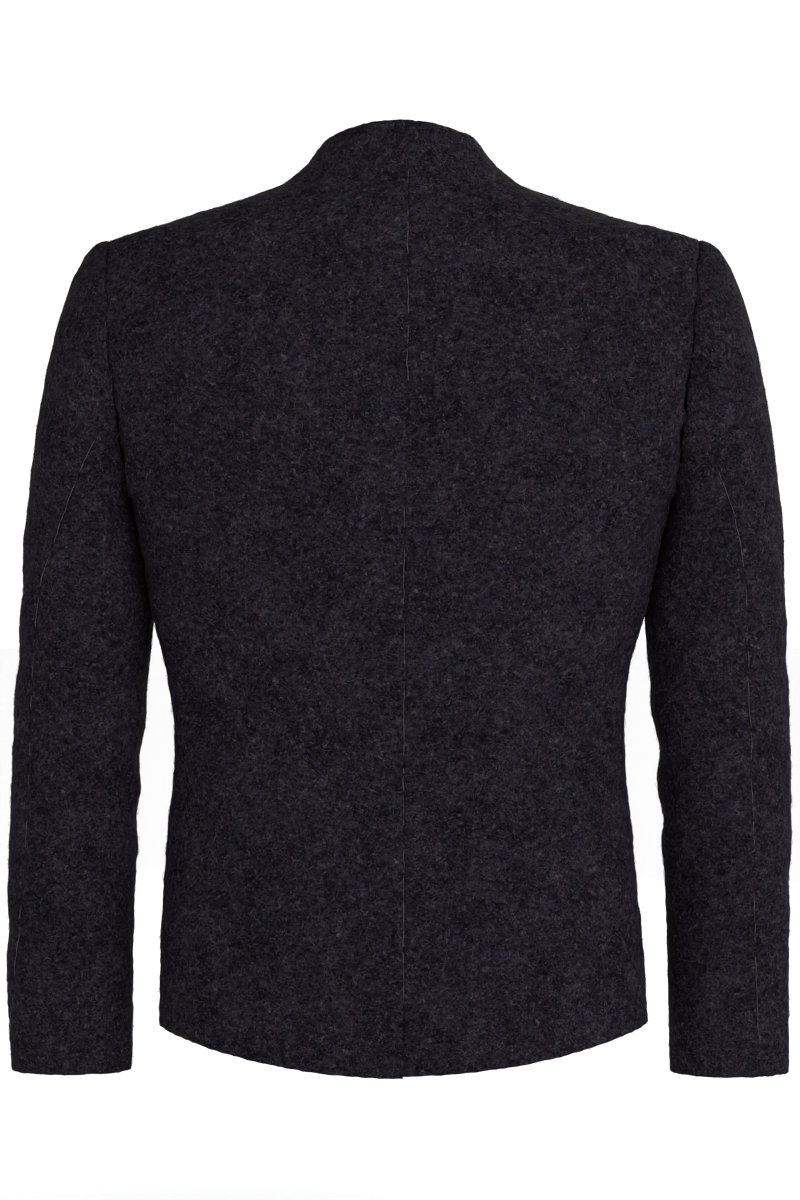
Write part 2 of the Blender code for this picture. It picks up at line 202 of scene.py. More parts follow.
@dataclass(frozen=True)
class Crease:
    """A soft trough in the cloth, from start to end, each given as (across, height).

    On the body, across is the distance from the centre of the jacket round the cloth. On a sleeve it is the
    distance round the sleeve from straight out, with the back positive. A negative depth is a ridge. The
    trough is widest in its middle, fades in and out past its ends, and has a low shoulder along each side.
    The runs are shares of its length, read along it for run_in and against it for run_out, and the shoulder
    is placed and raised as a share of its width and depth.
    """

    start: tuple[float, float]
    end: tuple[float, float]
    half_width: float
    depth: float
    bow: float = 0.0
    end_width: float = 0.65
    middle_swell: float = 0.55
    run_in: tuple[float, float] = (-0.2, 0.35)
    run_out: tuple[float, float] = (-1.2, -0.6)
    shoulder_at: float = 1.9
    shoulder_rise: float = 0.4

    def height_at(self, across: Array, height: Array) -> Array:
        """How far the crease moves the cloth outwards.

        Args:
            across: distances round the cloth.
            height: heights above the nape.

        Returns:
            The outward move at each place, in the same shape.
        """
        run, rise = self.end[0] - self.start[0], self.end[1] - self.start[1]
        length = math.hypot(run, rise)
        run, rise = run / length, rise / length
        along = ((across - self.start[0]) * run + (height - self.start[1]) * rise) / length
        inside = np.clip(along, 0, 1)
        aside = (height - self.start[1]) * run - (across - self.start[0]) * rise
        aside = aside - self.bow * 4 * inside * (1 - inside)
        width = self.half_width * (self.end_width + self.middle_swell * np.sin(np.pi * inside))
        fade = soft_step(along, *self.run_in) * soft_step(-along, *self.run_out)
        trough = np.exp(-((aside / width) ** 2))
        shoulder = np.exp(-(((np.abs(aside) - self.shoulder_at * width) / width) ** 2))
        return self.depth * fade * (self.shoulder_rise * shoulder - trough)


def soft_step(values: Array, low: float, high: float) -> Array:
    """Goes smoothly from 0 at low to 1 at high."""
    share = np.clip((values - low) / (high - low), 0, 1)
    return share**2 * (3 - 2 * share)


def unit(vectors: Array) -> Array:
    """The vectors along the last axis at length 1."""
    return vectors / np.maximum(np.linalg.norm(vectors, axis=-1, keepdims=True), 1e-9)


def smooth(values: object, positions: Array) -> Array:
    """Reads a table at fractional row numbers, smoothly and with no swing past its rows.

    Args:
        values: the table, a row for each section.
        positions: the fractional row numbers to read it at.

    Returns:
        One row of values for each position.
    """
    table = np.asarray(values, float)
    if table.ndim == 1:
        table = table[:, None]
    rise = np.diff(table, axis=0)
    slope = np.empty_like(table)
    product = rise[:-1] * rise[1:]
    safe = np.where(product > 0, rise[:-1] + rise[1:], 1.0)
    slope[1:-1] = np.where(product > 0, 2 * product / safe, 0.0)
    # Past the ends nothing bends the curve, so it leaves them with no curvature.
    slope[0] = 1.5 * rise[0] - 0.5 * slope[1]
    slope[-1] = 1.5 * rise[-1] - 0.5 * slope[-2]
    low = np.clip(positions.astype(int), 0, len(table) - 2)
    t = (positions - low)[:, None]
    return (
        table[low] * (1 + 2 * t) * (1 - t) ** 2
        + table[low + 1] * t**2 * (3 - 2 * t)
        + slope[low] * t * (1 - t) ** 2
        + slope[low + 1] * t**2 * (t - 1)
    )


def smooth_between(values: object, positions: Array, corners: tuple[int, ...]) -> Array:
    """Reads a table as smooth() does, but lets it turn a corner at the given rows.

    Args:
        values: the table, a row for each section.
        positions: the fractional row numbers to read it at.
        corners: the rows at which it may turn a corner.

    Returns:
        One row of values for each position.
    """
    table = np.asarray(values, float)
    ends = [0, *corners, len(table) - 1]
    found = np.empty((len(positions), table.shape[1]))
    for first, last in zip(ends[:-1], ends[1:]):
        inside = (positions >= first) & (positions <= last)
        found[inside] = smooth(table[first : last + 1], positions[inside] - first)
    return found


def grid_normals(grid: Array, closed: bool = False) -> Array:
    """Unit normals of a grid of points, along column direction cross row direction.

    Args:
        grid: points, rows by columns.
        closed: whether the last column is next to the first.

    Returns:
        A unit vector for each point.
    """
    along = np.gradient(grid, axis=0)
    if closed:
        across = np.roll(grid, -1, axis=1) - np.roll(grid, 1, axis=1)
    else:
        across = np.gradient(grid, axis=1)
    return unit(np.cross(across, along))


def distance_from(grid: Array, edge: Edge) -> Array:
    """How far each point of a grid is from one of its edges, along the cloth.

    Args:
        grid: points, rows by columns.
        edge: the edge to measure from.

    Returns:
        A distance for each point.
    """
    axis, end = edge.value
    steps = np.linalg.norm(np.diff(grid, axis=axis), axis=2)
    zero = np.zeros_like(np.take(steps, [0], axis=axis))
    run = np.concatenate([zero, np.cumsum(steps, axis=axis)], axis=axis)
    return run if end == 0 else np.take(run, [-1], axis=axis) - run


def grid_area(grid: Array) -> float:
    """The area of the surface that a grid of points spans."""
    a, b = grid[1:, 1:] - grid[:-1, :-1], grid[1:, :-1] - grid[:-1, 1:]
    return float(np.linalg.norm(np.cross(a, b), axis=2).sum() / 2)


class FeltNoise:
    """Smooth seeded noise in space, from -1 to 1."""

    CELLS = 48

    def __init__(self, seed: int) -> None:
        """Fills the lattice of random values."""
        self.values = np.random.default_rng(seed).uniform(-1, 1, (self.CELLS,) * 3)

    def at(self, points: Array, size: float | Point, layer: Layer) -> Array:
        """One layer of the noise at some points.

        Args:
            points: the points, with x, y and z along the last axis.
            size: the size of one lump, the same all ways or along x, y and z.
            layer: the layer to read.

        Returns:
            One value for each point.
        """
        place = (points + layer.value) / np.asarray(size, float)
        low = np.floor(place).astype(int)
        share = place - low
        share = share**2 * (3 - 2 * share)
        total = np.zeros(points.shape[:-1])
        for corner in np.ndindex(2, 2, 2):
            index = (low + corner) % self.CELLS
            weight = np.prod(np.where(np.array(corner) > 0, share, 1 - share), axis=-1)
            total += weight * self.values[index[..., 0], index[..., 1], index[..., 2]]
        return total


@dataclass
class JacketForm:
    """The lofted outer surface of one side of the jacket, on a grid fine enough to felt and crease.

    Grids are in the side's own coordinates, with x growing outwards, until a piece is made of them.
    """

    side: Side
    pitch: float = 2.8
    back_columns: int = 84
    front_columns: int = 80
    lap_columns: int = 14
    cap_rings: int = 34
    cap_spring: float = 0.46
    cap_fall: float = 1.02
    cap_drop: float = 1.3
    underarm_drop: float = 0.6
    cap_rounding: float = 0.15
    right_hem_lift: float = 1.7
    hem_lift_fade: float = 45.0
    touching: float = 1e-6
    steps: list[int] = field(init=False)
    rows: Array = field(init=False)

    def __post_init__(self) -> None:
        """Works out the loft's rows: an even number from each section to the next."""
        self.steps = []
        for low, high in zip(BODY, BODY[1:]):
            moves = (
                (high.back_y - low.back_y, high.back_z - low.back_z),
                (
                    high.back_edge_x - low.back_edge_x,
                    high.back_edge_y - low.back_edge_y,
                    high.edge_z - low.edge_z,
                ),
                (high.front_edge_x - low.front_edge_x, high.front_edge_y - low.front_edge_y),
                (high.front_y - low.front_y, high.front_z - low.front_z),
            )
            longest = max(math.hypot(*move) for move in moves)
            self.steps.append(2 * max(1, round(longest / self.pitch / 2)))
        numbers = [index + step / count for index, count in enumerate(self.steps) for step in range(count)]
        self.rows = np.array([*numbers, len(BODY) - 1], float)

    def row_of(self, section: int) -> int:
        """The loft's row that lies on a section of the body."""
        return sum(self.steps[:section])

    def body(self, face: Face) -> Array:
        """The outer surface of a body piece, from the centre of the jacket to its outer edge.

        Args:
            face: the back or the front.

        Returns:
            Points, rows by columns.
        """
        is_back = face is Face.BACK
        centre = smooth(
            [
                (s.back_x, s.back_y, s.back_z, s.back_fullness)
                if is_back
                else (0.0, s.front_y, s.front_z, s.front_fullness)
                for s in BODY
            ],
            self.rows,
        )
        edge_table = [
            (s.back_edge_x, s.back_edge_y, s.edge_z)
            if is_back
            else (s.front_edge_x, s.front_edge_y, s.edge_z)
            for s in BODY
        ]
        edge = smooth_between(edge_table, self.rows, (UNDERARM, SHOULDER_TIP))
        softened = smooth(edge_table, self.rows)
        if self.side is Side.RIGHT:
            hang = smooth([(s.right_out, 0, s.right_up) for s in BODY], self.rows)
            edge += hang
            softened += hang
            if is_back:
                up = centre[:, 2] - centre[0, 2]
                centre[:, 2] += self.right_hem_lift * soft_step(-up, -self.hem_lift_fade, 0)
        if is_back:
            start = np.arcsin(self.side.value * centre[:, 0] / edge[:, 0])[:, None]
            # A back has no lap.
            lap = start[:, :0]
            columns = self.back_columns
        else:
            start = np.arcsin(FRONT_OVERLAP / edge[:, 0])[:, None]
            lap = start * np.linspace(-1, 1, self.lap_columns, endpoint=False)
            columns = self.front_columns
        angle = start + (math.pi / 2 - start) * np.linspace(0, 1, columns + 1)
        angle = np.concatenate([lap, angle], axis=1)
        out = np.sin(angle)
        fullness = centre[:, 3:4]
        share = fullness * np.cos(angle) + (1 - fullness) * (1 - np.abs(out) ** ROW_FLATNESS)
        held = (np.abs(out) ** CORNER_REACH)[:, :, None]
        blended = softened[:, None] * (1 - held) + edge[:, None] * held
        x = blended[:, :, 0] * out
        y = blended[:, :, 1] + (centre[:, 1:2] - blended[:, :, 1]) * share
        z = centre[:, 2:3] + (blended[:, :, 2] - centre[:, 2:3]) * out**2
        return np.stack([x, y, z], axis=2)

    def body_normals(self, back: Array, front: Array) -> tuple[Array, Array]:
        """Outward normals of a back and a front, which share those of the seam between them.

        Args:
            back: the back's points.
            front: the front's points.

        Returns:
            The back's normals and the front's.
        """
        back_normal = -grid_normals(back)
        front_normal = grid_normals(front)
        back_normal[:, 0, 0] = 0
        back_normal[:, 0] = unit(back_normal[:, 0])
        joined = np.linalg.norm(back[:, -1] - front[:, -1], axis=1) < self.touching
        shared = unit(back_normal[joined, -1] + front_normal[joined, -1])
        back_normal[joined, -1] = shared
        front_normal[joined, -1] = shared
        return back_normal, front_normal

    def lift_lap(self, grid: Array, normal: Array) -> Array:
        """Raises the left front where it laps over the right one."""
        share = 1 - soft_step(grid[:, :, 0], FRONT_OVERLAP, LAP_STARTS)
        return grid + normal * (LAP_LIFT * share)[:, :, None]

    def sleeve(self, back: Array, front: Array) -> tuple[Array, Array, int, int]:
        """The outer surface of a sleeve, from the underarm up the back of the armhole and down its front.

        Args:
            back: the points of the back piece.
            front: the points of the front piece.

        Returns:
            The points, rings by columns; each point's angle round the arm in degrees; and the columns of the
            back and front seams.
        """
        low, tip = self.row_of(UNDERARM), self.row_of(SHOULDER_TIP)
        loop = np.concatenate([back[low:tip, -1], front[tip:low:-1, -1]])
        length = np.linalg.norm(np.roll(loop, -1, axis=0) - loop, axis=1)
        along = np.concatenate([[0], np.cumsum(length)])
        middle = np.average(loop, axis=0, weights=(length + np.roll(length, 1)))
        radial = unit((loop - middle) * (0, 1, 1))
        upward = radial[:, 2]
        drop = self.cap_drop * (1 - np.abs(upward)) + self.underarm_drop * np.clip(-upward, 0, 1)
        leaving = unit(np.array([1.0, 0, 0]) + self.cap_rounding * radial - drop[:, None] * (0, 0, 1))

        back_mark = self.row_of(BACK_NOTCH) - low
        front_mark = len(loop) - (self.row_of(FRONT_NOTCH) - low)
        marks = [0, back_mark, front_mark, len(loop)]
        sections = ARMS[self.side]
        table = [(s.x, s.y, s.z, s.half_width, s.half_depth, s.back_seam, s.front_seam) for s in sections]
        height = abs(sections[-1].z - sections[0].z)
        rings = 2 * round(height / self.pitch / 2)
        drops = np.interp(
            np.linspace(0, height, rings + 1),
            [abs(s.z - sections[0].z) for s in sections],
            np.arange(len(sections)),
        )

        def ring(place: float) -> tuple[Array, Array]:
            """Works out one ring of the arm.

            Args:
                place: where in the table of sections it lies, as a fractional row number.

            Returns:
                Its points, and their angles in degrees.
            """
            x, y, z, half_width, half_depth, back_seam, front_seam = smooth(table, np.array([place]))[0]
            turns = np.interp(along[:-1], along[marks], [180, back_seam, front_seam, -180])
            angles = np.radians(turns)
            out, back = half_width * np.cos(angles), half_depth * np.sin(angles)
            return np.stack([x + out, y + back, np.full_like(angles, z)], axis=1), turns

        arm, turned = map(np.array, zip(*(ring(place) for place in drops)))
        span = np.linalg.norm(arm[0] - loop, axis=1)[:, None]
        falling = unit(ring(0.5)[0] - arm[0])
        cap = [
            loop * (1 + 2 * t) * (1 - t) ** 2
            + arm[0] * t**2 * (3 - 2 * t)
            + leaving * span * self.cap_spring * t * (1 - t) ** 2
            + falling * span * self.cap_fall * t**2 * (t - 1)
            for t in np.arange(self.cap_rings) / self.cap_rings
        ]
        turns = np.concatenate([np.repeat(turned[:1], self.cap_rings, axis=0), turned])
        return np.concatenate([np.array(cap), arm]), turns, back_mark, front_mark


def linear(hex_colour: str) -> tuple[float, float, float, float]:
    """Turns an sRGB hex colour into linear values with an alpha of 1."""
    channels = [int(hex_colour.lstrip("#")[i : i + 2], 16) / 255 for i in (0, 2, 4)]
    return (*(c / 12.92 if c <= 0.04045 else ((c + 0.055) / 1.055) ** 2.4 for c in channels), 1.0)


def per_metre(size_mm: float) -> float:
    """The scale of a pattern whose lumps have a real size, for coordinates in metres."""
    return 1 / (size_mm * MM)


def add_node(tree: Tree, kind: str, inputs: dict | None = None, **settings: object) -> bpy.types.Node:
    """Adds a shader node, sets it and links it.

    Args:
        tree: the tree it goes into.
        kind: Blender's name for the node's type.
        inputs: for an input, by name or number, its value, the output socket that feeds it, or the node
            whose first output in use feeds it.
        settings: the node's own properties.

    Returns:
        The new node.
    """
    node = tree.nodes.new(kind)
    for name, value in settings.items():
        setattr(node, name, value)
    for key, value in (inputs or {}).items():
        if isinstance(value, bpy.types.Node):
            value = next(output for output in value.outputs if output.enabled)
        if isinstance(value, bpy.types.NodeSocket):
            tree.links.new(value, node.inputs[key])
        else:
            node.inputs[key].default_value = value
    return node


def new_material(name: str, shader: dict) -> tuple[bpy.types.Material, Tree, bpy.types.Node]:
    """A material with one Principled shader, whose constant values sit on its own sockets.

    Args:
        name: what the material is.
        shader: the shader's inputs by name.

    Returns:
        The material, its node tree and its shader.
    """
    material = bpy.data.materials.new(name)
    material.use_nodes = True
    node = material.node_tree.nodes["Principled BSDF"]
    for key, value in shader.items():
        node.inputs[key].default_value = value
    return material, material.node_tree, node


def set_shades(ramp: bpy.types.Node, shades: tuple[tuple[float, str], ...]) -> None:
    """Gives a colour ramp its shades.

    Args:
        ramp: the ramp's node.
        shades: the place and the sRGB hex colour of each shade.
    """
    elements = ramp.color_ramp.elements
    while len(elements) < len(shades):
        elements.new(1.0)
    for element, (position, shade) in zip(elements, shades):
        element.position = position
        element.color = linear(shade)


@dataclass(frozen=True)
class LodenFinish:
    """Boiled wool loden: knitted wool of several dyed shades, milled until it felts.

    The shades do not blend, so the eye sees dark charcoal with lighter specks a couple of millimetres across,
    vague clouds a few times larger, slightly longer along the knitted courses, and pale stray fibres. The
    milled surface is matt and hardly reflects. Shade is painted into its colour in the gaps between tufts,
    and a painted shade darkens it where the cloth turns away from view, as its dense nap would shade itself.
    """

    name: str = "boiled_wool_loden"
    dark: str = "#070509"
    shades: tuple[tuple[float, str], ...] = (
        (0.33, "#070509"),
        (0.48, "#16131b"),
        (0.625, "#26222a"),
        (0.77, "#3c3840"),
    )
    fibre: str = "#474448"
    # Two tints and the size of their patches, for each of the ways in which the dyed shades drift.
    tints: tuple[tuple[str, str, float], ...] = (
        ("#fff5ef", "#f1f7ff", 13.0),
        ("#fff6fd", "#f8fff5", 19.0),
    )
    tint_range: tuple[float, float] = (0.32, 0.68)
    roughness: float = 0.95
    specular: float = 0.02
    sheen: float = 0.006
    sheen_roughness: float = 0.45
    sheen_tint: str = "#b9b6c2"
    speck_mm: float = 1.7
    cloud_mm: float = 6.5
    drift_mm: float = 34.0
    pore_mm: float = 2.1
    strand_mm: float = 7.0
    # How far the layers of strands lie apart, and the size of each layer against strand_mm.
    strand_layers: tuple[tuple[float, float], ...] = ((0.0, 1.0), (0.37, 0.7), (0.71, 1.3))
    strand_width: float = 0.02
    break_size: float = 0.45
    break_range: tuple[float, float] = (0.54, 0.62)
    course_stretch: float = 1.1
    cloud_stretch: float = 1.5
    # The shares of specks, clouds and drift in the blend of shades, and what centres the blend.
    speck_share: float = 0.66
    cloud_share: float = 0.5
    drift_share: float = 0.22
    centring: float = -0.19
    fibre_share: float = 0.65
    # Painted shade in the gaps between tufts: where it starts and is deepest on the pore noise, and how dark
    # it gets.
    pore_range: tuple[float, float] = (0.42, 0.3)
    pore_shade: float = 0.85
    # Painted shade where the cloth turns away from view: how dark it gets, and how close to the rim it stays.
    painted_rim_shade: float = 0.75
    edge_narrowness: float = 9.0
    bump_mm: float = 0.5
    bump_strength: float = 0.7
    speck_relief: float = 0.9
    strand_relief: float = 0.35
    cloud_relief: float = 0.6

    def build(self) -> bpy.types.Material:
        """Makes the material.

        Returns:
            The material.
        """
        material, tree, shader = new_material(
            self.name,
            {
                "Roughness": self.roughness,
                "Specular IOR Level": self.specular,
                "Sheen Weight": self.sheen,
                "Sheen Roughness": self.sheen_roughness,
                "Sheen Tint": linear(self.sheen_tint),
            },
        )
        place = add_node(tree, "ShaderNodeTexCoord").outputs["Object"]
        course, streak = (
            add_node(tree, "ShaderNodeMapping", {"Vector": place, "Scale": (1, 1, stretch)})
            for stretch in (self.course_stretch, self.cloud_stretch)
        )
        specks, clouds, drift, pores = (
            add_node(
                tree,
                "ShaderNodeTexNoise",
                {
                    "Vector": where,
                    "Scale": per_metre(size),
                    "Detail": detail,
                    "Roughness": roughness,
                    "Distortion": distortion,
                },
            )
            for where, size, detail, roughness, distortion in (
                (course, self.speck_mm, 3.0, 0.6, 0.3),
                (streak, self.cloud_mm, 2.0, 0.5, 0.6),
                (place, self.drift_mm, 2.0, 0.5, 0.0),
                (course, self.pore_mm, 1.0, 0.5, 0.4),
            )
        )
        strands = self.strands(tree, place)
        colour = self.colour(tree, place, specks, clouds, drift, pores, strands)
        tree.links.new(colour, shader.inputs["Base Color"])

        low = add_node(tree, "ShaderNodeMath", {0: specks, 1: self.speck_relief}, operation="MULTIPLY")
        height = self.add_up(tree, low, ((strands, self.strand_relief), (clouds, self.cloud_relief)))
        bump = add_node(
            tree,
            "ShaderNodeBump",
            {"Height": height, "Distance": self.bump_mm * MM, "Strength": self.bump_strength},
        )
        tree.links.new(bump.outputs["Normal"], shader.inputs["Normal"])
        return material

    def colour(
        self,
        tree: Tree,
        place: Source,
        specks: Source,
        clouds: Source,
        drift: Source,
        pores: Source,
        strands: Source,
    ) -> bpy.types.NodeSocket:
        """Blends the dyed shades, then tints them, lays pale fibres on them and paints shade into pores and
        rims.

        Args:
            tree: the material's tree.
            place: the coordinates in metres.
            specks: the finest noise.
            clouds: the noise of the clouds.
            drift: the widest noise.
            pores: the noise of the gaps between tufts, where shade is painted.
            strands: where fibres lie in the surface.

        Returns:
            The colour's socket.
        """
        mixed = self.add_up(
            tree,
            self.centring,
            ((specks, self.speck_share), (clouds, self.cloud_share), (drift, self.drift_share)),
        )
        colour = add_node(tree, "ShaderNodeValToRGB", {"Fac": mixed})
        set_shades(colour, self.shades)
        for one, other, size in self.tints:
            colour = self.tint(tree, place, colour, one, other, size)
        fibres = add_node(tree, "ShaderNodeMath", {0: strands, 1: self.fibre_share}, operation="MULTIPLY")
        # Painted shade: the gaps between tufts are darkened as if shaded.
        full, deepest = self.pore_range
        sunk = add_node(
            tree,
            "ShaderNodeMapRange",
            {"Value": pores, "From Min": full, "From Max": deepest, "To Max": self.pore_shade},
        )
        # Painted shade: the colour darkens towards the rims, where the cloth turns away from view.
        turned = add_node(tree, "ShaderNodeLayerWeight", {"Blend": 0.5}).outputs["Facing"]
        rim = add_node(tree, "ShaderNodeMath", {0: turned, 1: self.edge_narrowness}, operation="POWER")
        shaded = add_node(tree, "ShaderNodeMath", {0: rim, 1: self.painted_rim_shade}, operation="MULTIPLY")
        for share, shade in ((fibres, self.fibre), (sunk, self.dark), (shaded, self.dark)):
            colour = add_node(
                tree, "ShaderNodeMix", {"Factor": share, "A": colour, "B": linear(shade)}, data_type="RGBA"
            )
        return colour.outputs["Result"]

    def add_up(self, tree: Tree, total: float | Source, parts: tuple[tuple[Source, float], ...]) -> Source:
        """Adds up weighted values.

        Args:
            tree: the material's tree.
            total: what they are added to.
            parts: each value with its weight.

        Returns:
            The node of the sum.
        """
        for part, weight in parts:
            total = add_node(tree, "ShaderNodeMath", {0: part, 1: weight, 2: total}, operation="MULTIPLY_ADD")
        return total

    def strands(self, tree: Tree, place: Source) -> Source:
        """Thin curled lines, broken into short lengths: fibres that lie in the surface.

        Args:
            tree: the material's tree.
            place: the coordinates in metres.

        Returns:
            A node that gives 1 on a strand and 0 off it.
        """
        total = None
        for offset, size in self.strand_layers:
            moved = add_node(
                tree, "ShaderNodeMapping", {"Vector": place, "Location": (offset, offset * 2, -offset)}
            )
            line, breaks = (
                add_node(
                    tree,
                    "ShaderNodeTexNoise",
                    {
                        "Vector": moved,
                        "Scale": per_metre(self.strand_mm * size * part),
                        "Detail": detail,
                        "Roughness": roughness,
                        "Distortion": distortion,
                    },
                )
                for part, detail, roughness, distortion in (
                    (1.0, 1.0, 0.4, 1.6),
                    (self.break_size, 0.0, 0.5, 0.0),
                )
            )
            aside = add_node(tree, "ShaderNodeMath", {0: line, 1: 0.5}, operation="SUBTRACT")
            away = add_node(tree, "ShaderNodeMath", {0: aside}, operation="ABSOLUTE")
            thin, kept = (
                add_node(tree, "ShaderNodeMapRange", {"Value": value, "From Min": low, "From Max": high})
                for value, low, high in ((away, self.strand_width, 0.0), (breaks, *self.break_range))
            )
            layer = add_node(tree, "ShaderNodeMath", {0: thin, 1: kept}, operation="MULTIPLY")
            if total is None:
                total = layer
            else:
                total = add_node(tree, "ShaderNodeMath", {0: total, 1: layer}, operation="MAXIMUM")
        return total

    def tint(self, tree: Tree, place: Source, base: Source, one: str, other: str, size_mm: float) -> Source:
        """Lets a colour drift a little between two tints, as the dyed shades are unevenly blended.

        Args:
            tree: the material's tree.
            place: the coordinates in metres.
            base: the colour.
            one: the first tint.
            other: the second tint.
            size_mm: the size of one patch.

        Returns:
            The tinted colour's node.
        """
        drift = add_node(
            tree,
            "ShaderNodeTexNoise",
            {
                "Vector": place,
                "Scale": per_metre(size_mm),
                "Detail": 2.0,
                "Roughness": 0.55,
                "Distortion": 0.3,
            },
        )
        low, high = self.tint_range
        share = add_node(tree, "ShaderNodeMapRange", {"Value": drift, "From Min": low, "From Max": high})
        shades = add_node(
            tree,
            "ShaderNodeMix",
            {"Factor": share, "A": linear(one), "B": linear(other)},
            data_type="RGBA",
        )
        return add_node(
            tree,
            "ShaderNodeMix",
            {"Factor": 1.0, "A": base, "B": shades},
            data_type="RGBA",
            blend_type="MULTIPLY",
        )


@dataclass(frozen=True)
class StrandFinish:
    """Wool fibre or sewing thread: a fine round strand, matt with a faint gleam along it.

    The strands differ a little in shade, so along a seam or in the nap the eye sees them come and go.
    """

    name: str
    shade: str
    other: str
    size_mm: float = 5.0
    shade_range: tuple[float, float] = (0.35, 0.65)
    roughness: float = 0.8
    specular: float = 0.03

    def build(self) -> bpy.types.Material:
        """Makes the material, which drifts between two shades along the strands.

        Returns:
            The material.
        """
        material, tree, shader = new_material(
            self.name, {"Roughness": self.roughness, "Specular IOR Level": self.specular}
        )
        place = add_node(tree, "ShaderNodeTexCoord").outputs["Object"]
        noise = add_node(
            tree,
            "ShaderNodeTexNoise",
            {"Vector": place, "Scale": per_metre(self.size_mm), "Detail": 1.0},
        )
        ramp = add_node(tree, "ShaderNodeValToRGB", {"Fac": noise})
        set_shades(ramp, tuple(zip(self.shade_range, (self.shade, self.other))))
        tree.links.new(ramp.outputs["Color"], shader.inputs["Base Color"])
        return material


@dataclass(frozen=True)
class HornFinish:
    """Polished dark buffalo horn: brown-black with long paler streaks, and a soft wax gloss."""

    name: str = "polished_horn"
    dark: str = "#1d130d"
    streak: str = "#5d4029"
    streak_mm: float = 3.5
    streak_stretch: float = 0.25
    streak_range: tuple[float, float] = (0.42, 0.72)
    roughness: float = 0.34
    ior: float = 1.55
    specular: float = 0.35
    wax: float = 0.1
    wax_roughness: float = 0.25
    bump_mm: float = 0.1
    bump_strength: float = 0.3

    def build(self) -> bpy.types.Material:
        """Makes the material.

        Returns:
            The material.
        """
        material, tree, shader = new_material(
            self.name,
            {
                "Roughness": self.roughness,
                "IOR": self.ior,
                "Specular IOR Level": self.specular,
                "Coat Weight": self.wax,
                "Coat Roughness": self.wax_roughness,
            },
        )
        place = add_node(tree, "ShaderNodeTexCoord").outputs["Object"]
        pulled = add_node(
            tree, "ShaderNodeMapping", {"Vector": place, "Scale": (1.0, 1.0, self.streak_stretch)}
        )
        noise = add_node(
            tree,
            "ShaderNodeTexNoise",
            {"Vector": pulled, "Scale": per_metre(self.streak_mm), "Detail": 4.0, "Distortion": 1.2},
        )
        ramp = add_node(tree, "ShaderNodeValToRGB", {"Fac": noise})
        set_shades(ramp, tuple(zip(self.streak_range, (self.dark, self.streak))))
        tree.links.new(ramp.outputs["Color"], shader.inputs["Base Color"])
        bump = add_node(
            tree,
            "ShaderNodeBump",
            {"Height": noise, "Distance": self.bump_mm * MM, "Strength": self.bump_strength},
        )
        tree.links.new(bump.outputs["Normal"], shader.inputs["Normal"])
        return material


@dataclass(frozen=True)
class PaperFinish:
    """White translucent paper lit from behind: matt, and so bright that it has no tone of its own."""

    name: str = "backlit_white_paper"
    shade: str = "#f6f6f6"
    roughness: float = 0.95
    specular: float = 0.1
    glow: float = 0.12

    def build(self) -> bpy.types.Material:
        """Makes the material.

        Returns:
            The material.
        """
        shader = {
            "Base Color": linear(self.shade),
            "Roughness": self.roughness,
            "Specular IOR Level": self.specular,
            "Emission Color": (1.0, 1.0, 1.0, 1.0),
            "Emission Strength": self.glow,
        }
        return new_material(self.name, shader)[0]


@dataclass
class Wardrobe:
    """The finishes in use, each made once."""

    loden: bpy.types.Material = field(default_factory=lambda: LodenFinish().build())
    dark_fibre: bpy.types.Material = field(
        default_factory=lambda: StrandFinish("dark_wool_fibre", "#0e0c11", "#221f25").build()
    )
    pale_fibre: bpy.types.Material = field(
        default_factory=lambda: StrandFinish("pale_wool_fibre", "#302d33", "#4e4b50").build()
    )
    thread: bpy.types.Material = field(
        default_factory=lambda: StrandFinish(
            "grey_polyester_thread", "#3c3b3f", "#5c5b60", roughness=0.55
        ).build()
    )
    horn: bpy.types.Material = field(default_factory=lambda: HornFinish().build())


def make_object(
    name: str, points: Array, faces: list, materials: list[bpy.types.Material], slots: Array | None = None
) -> bpy.types.Object:
    """A smooth mesh object that rides on the jacket.

    Args:
        name: the piece's name.
        points: its points in millimetres.
        faces: its faces, as tuples or lists of point numbers.
        materials: its finishes.
        slots: the finish of each face, where there are several.

    Returns:
        The object.
    """
    mesh = bpy.data.meshes.new(name)
    mesh.from_pydata((points * MM).tolist(), [], faces)
    for material in materials:
        mesh.materials.append(material)
    if slots is not None:
        mesh.polygons.foreach_set("material_index", slots.astype(np.int32))
    mesh.shade_smooth()
    mesh.update()
    made = bpy.data.objects.new(name, mesh)
    bpy.context.scene.collection.objects.link(made)
    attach(made, "root")
    return made


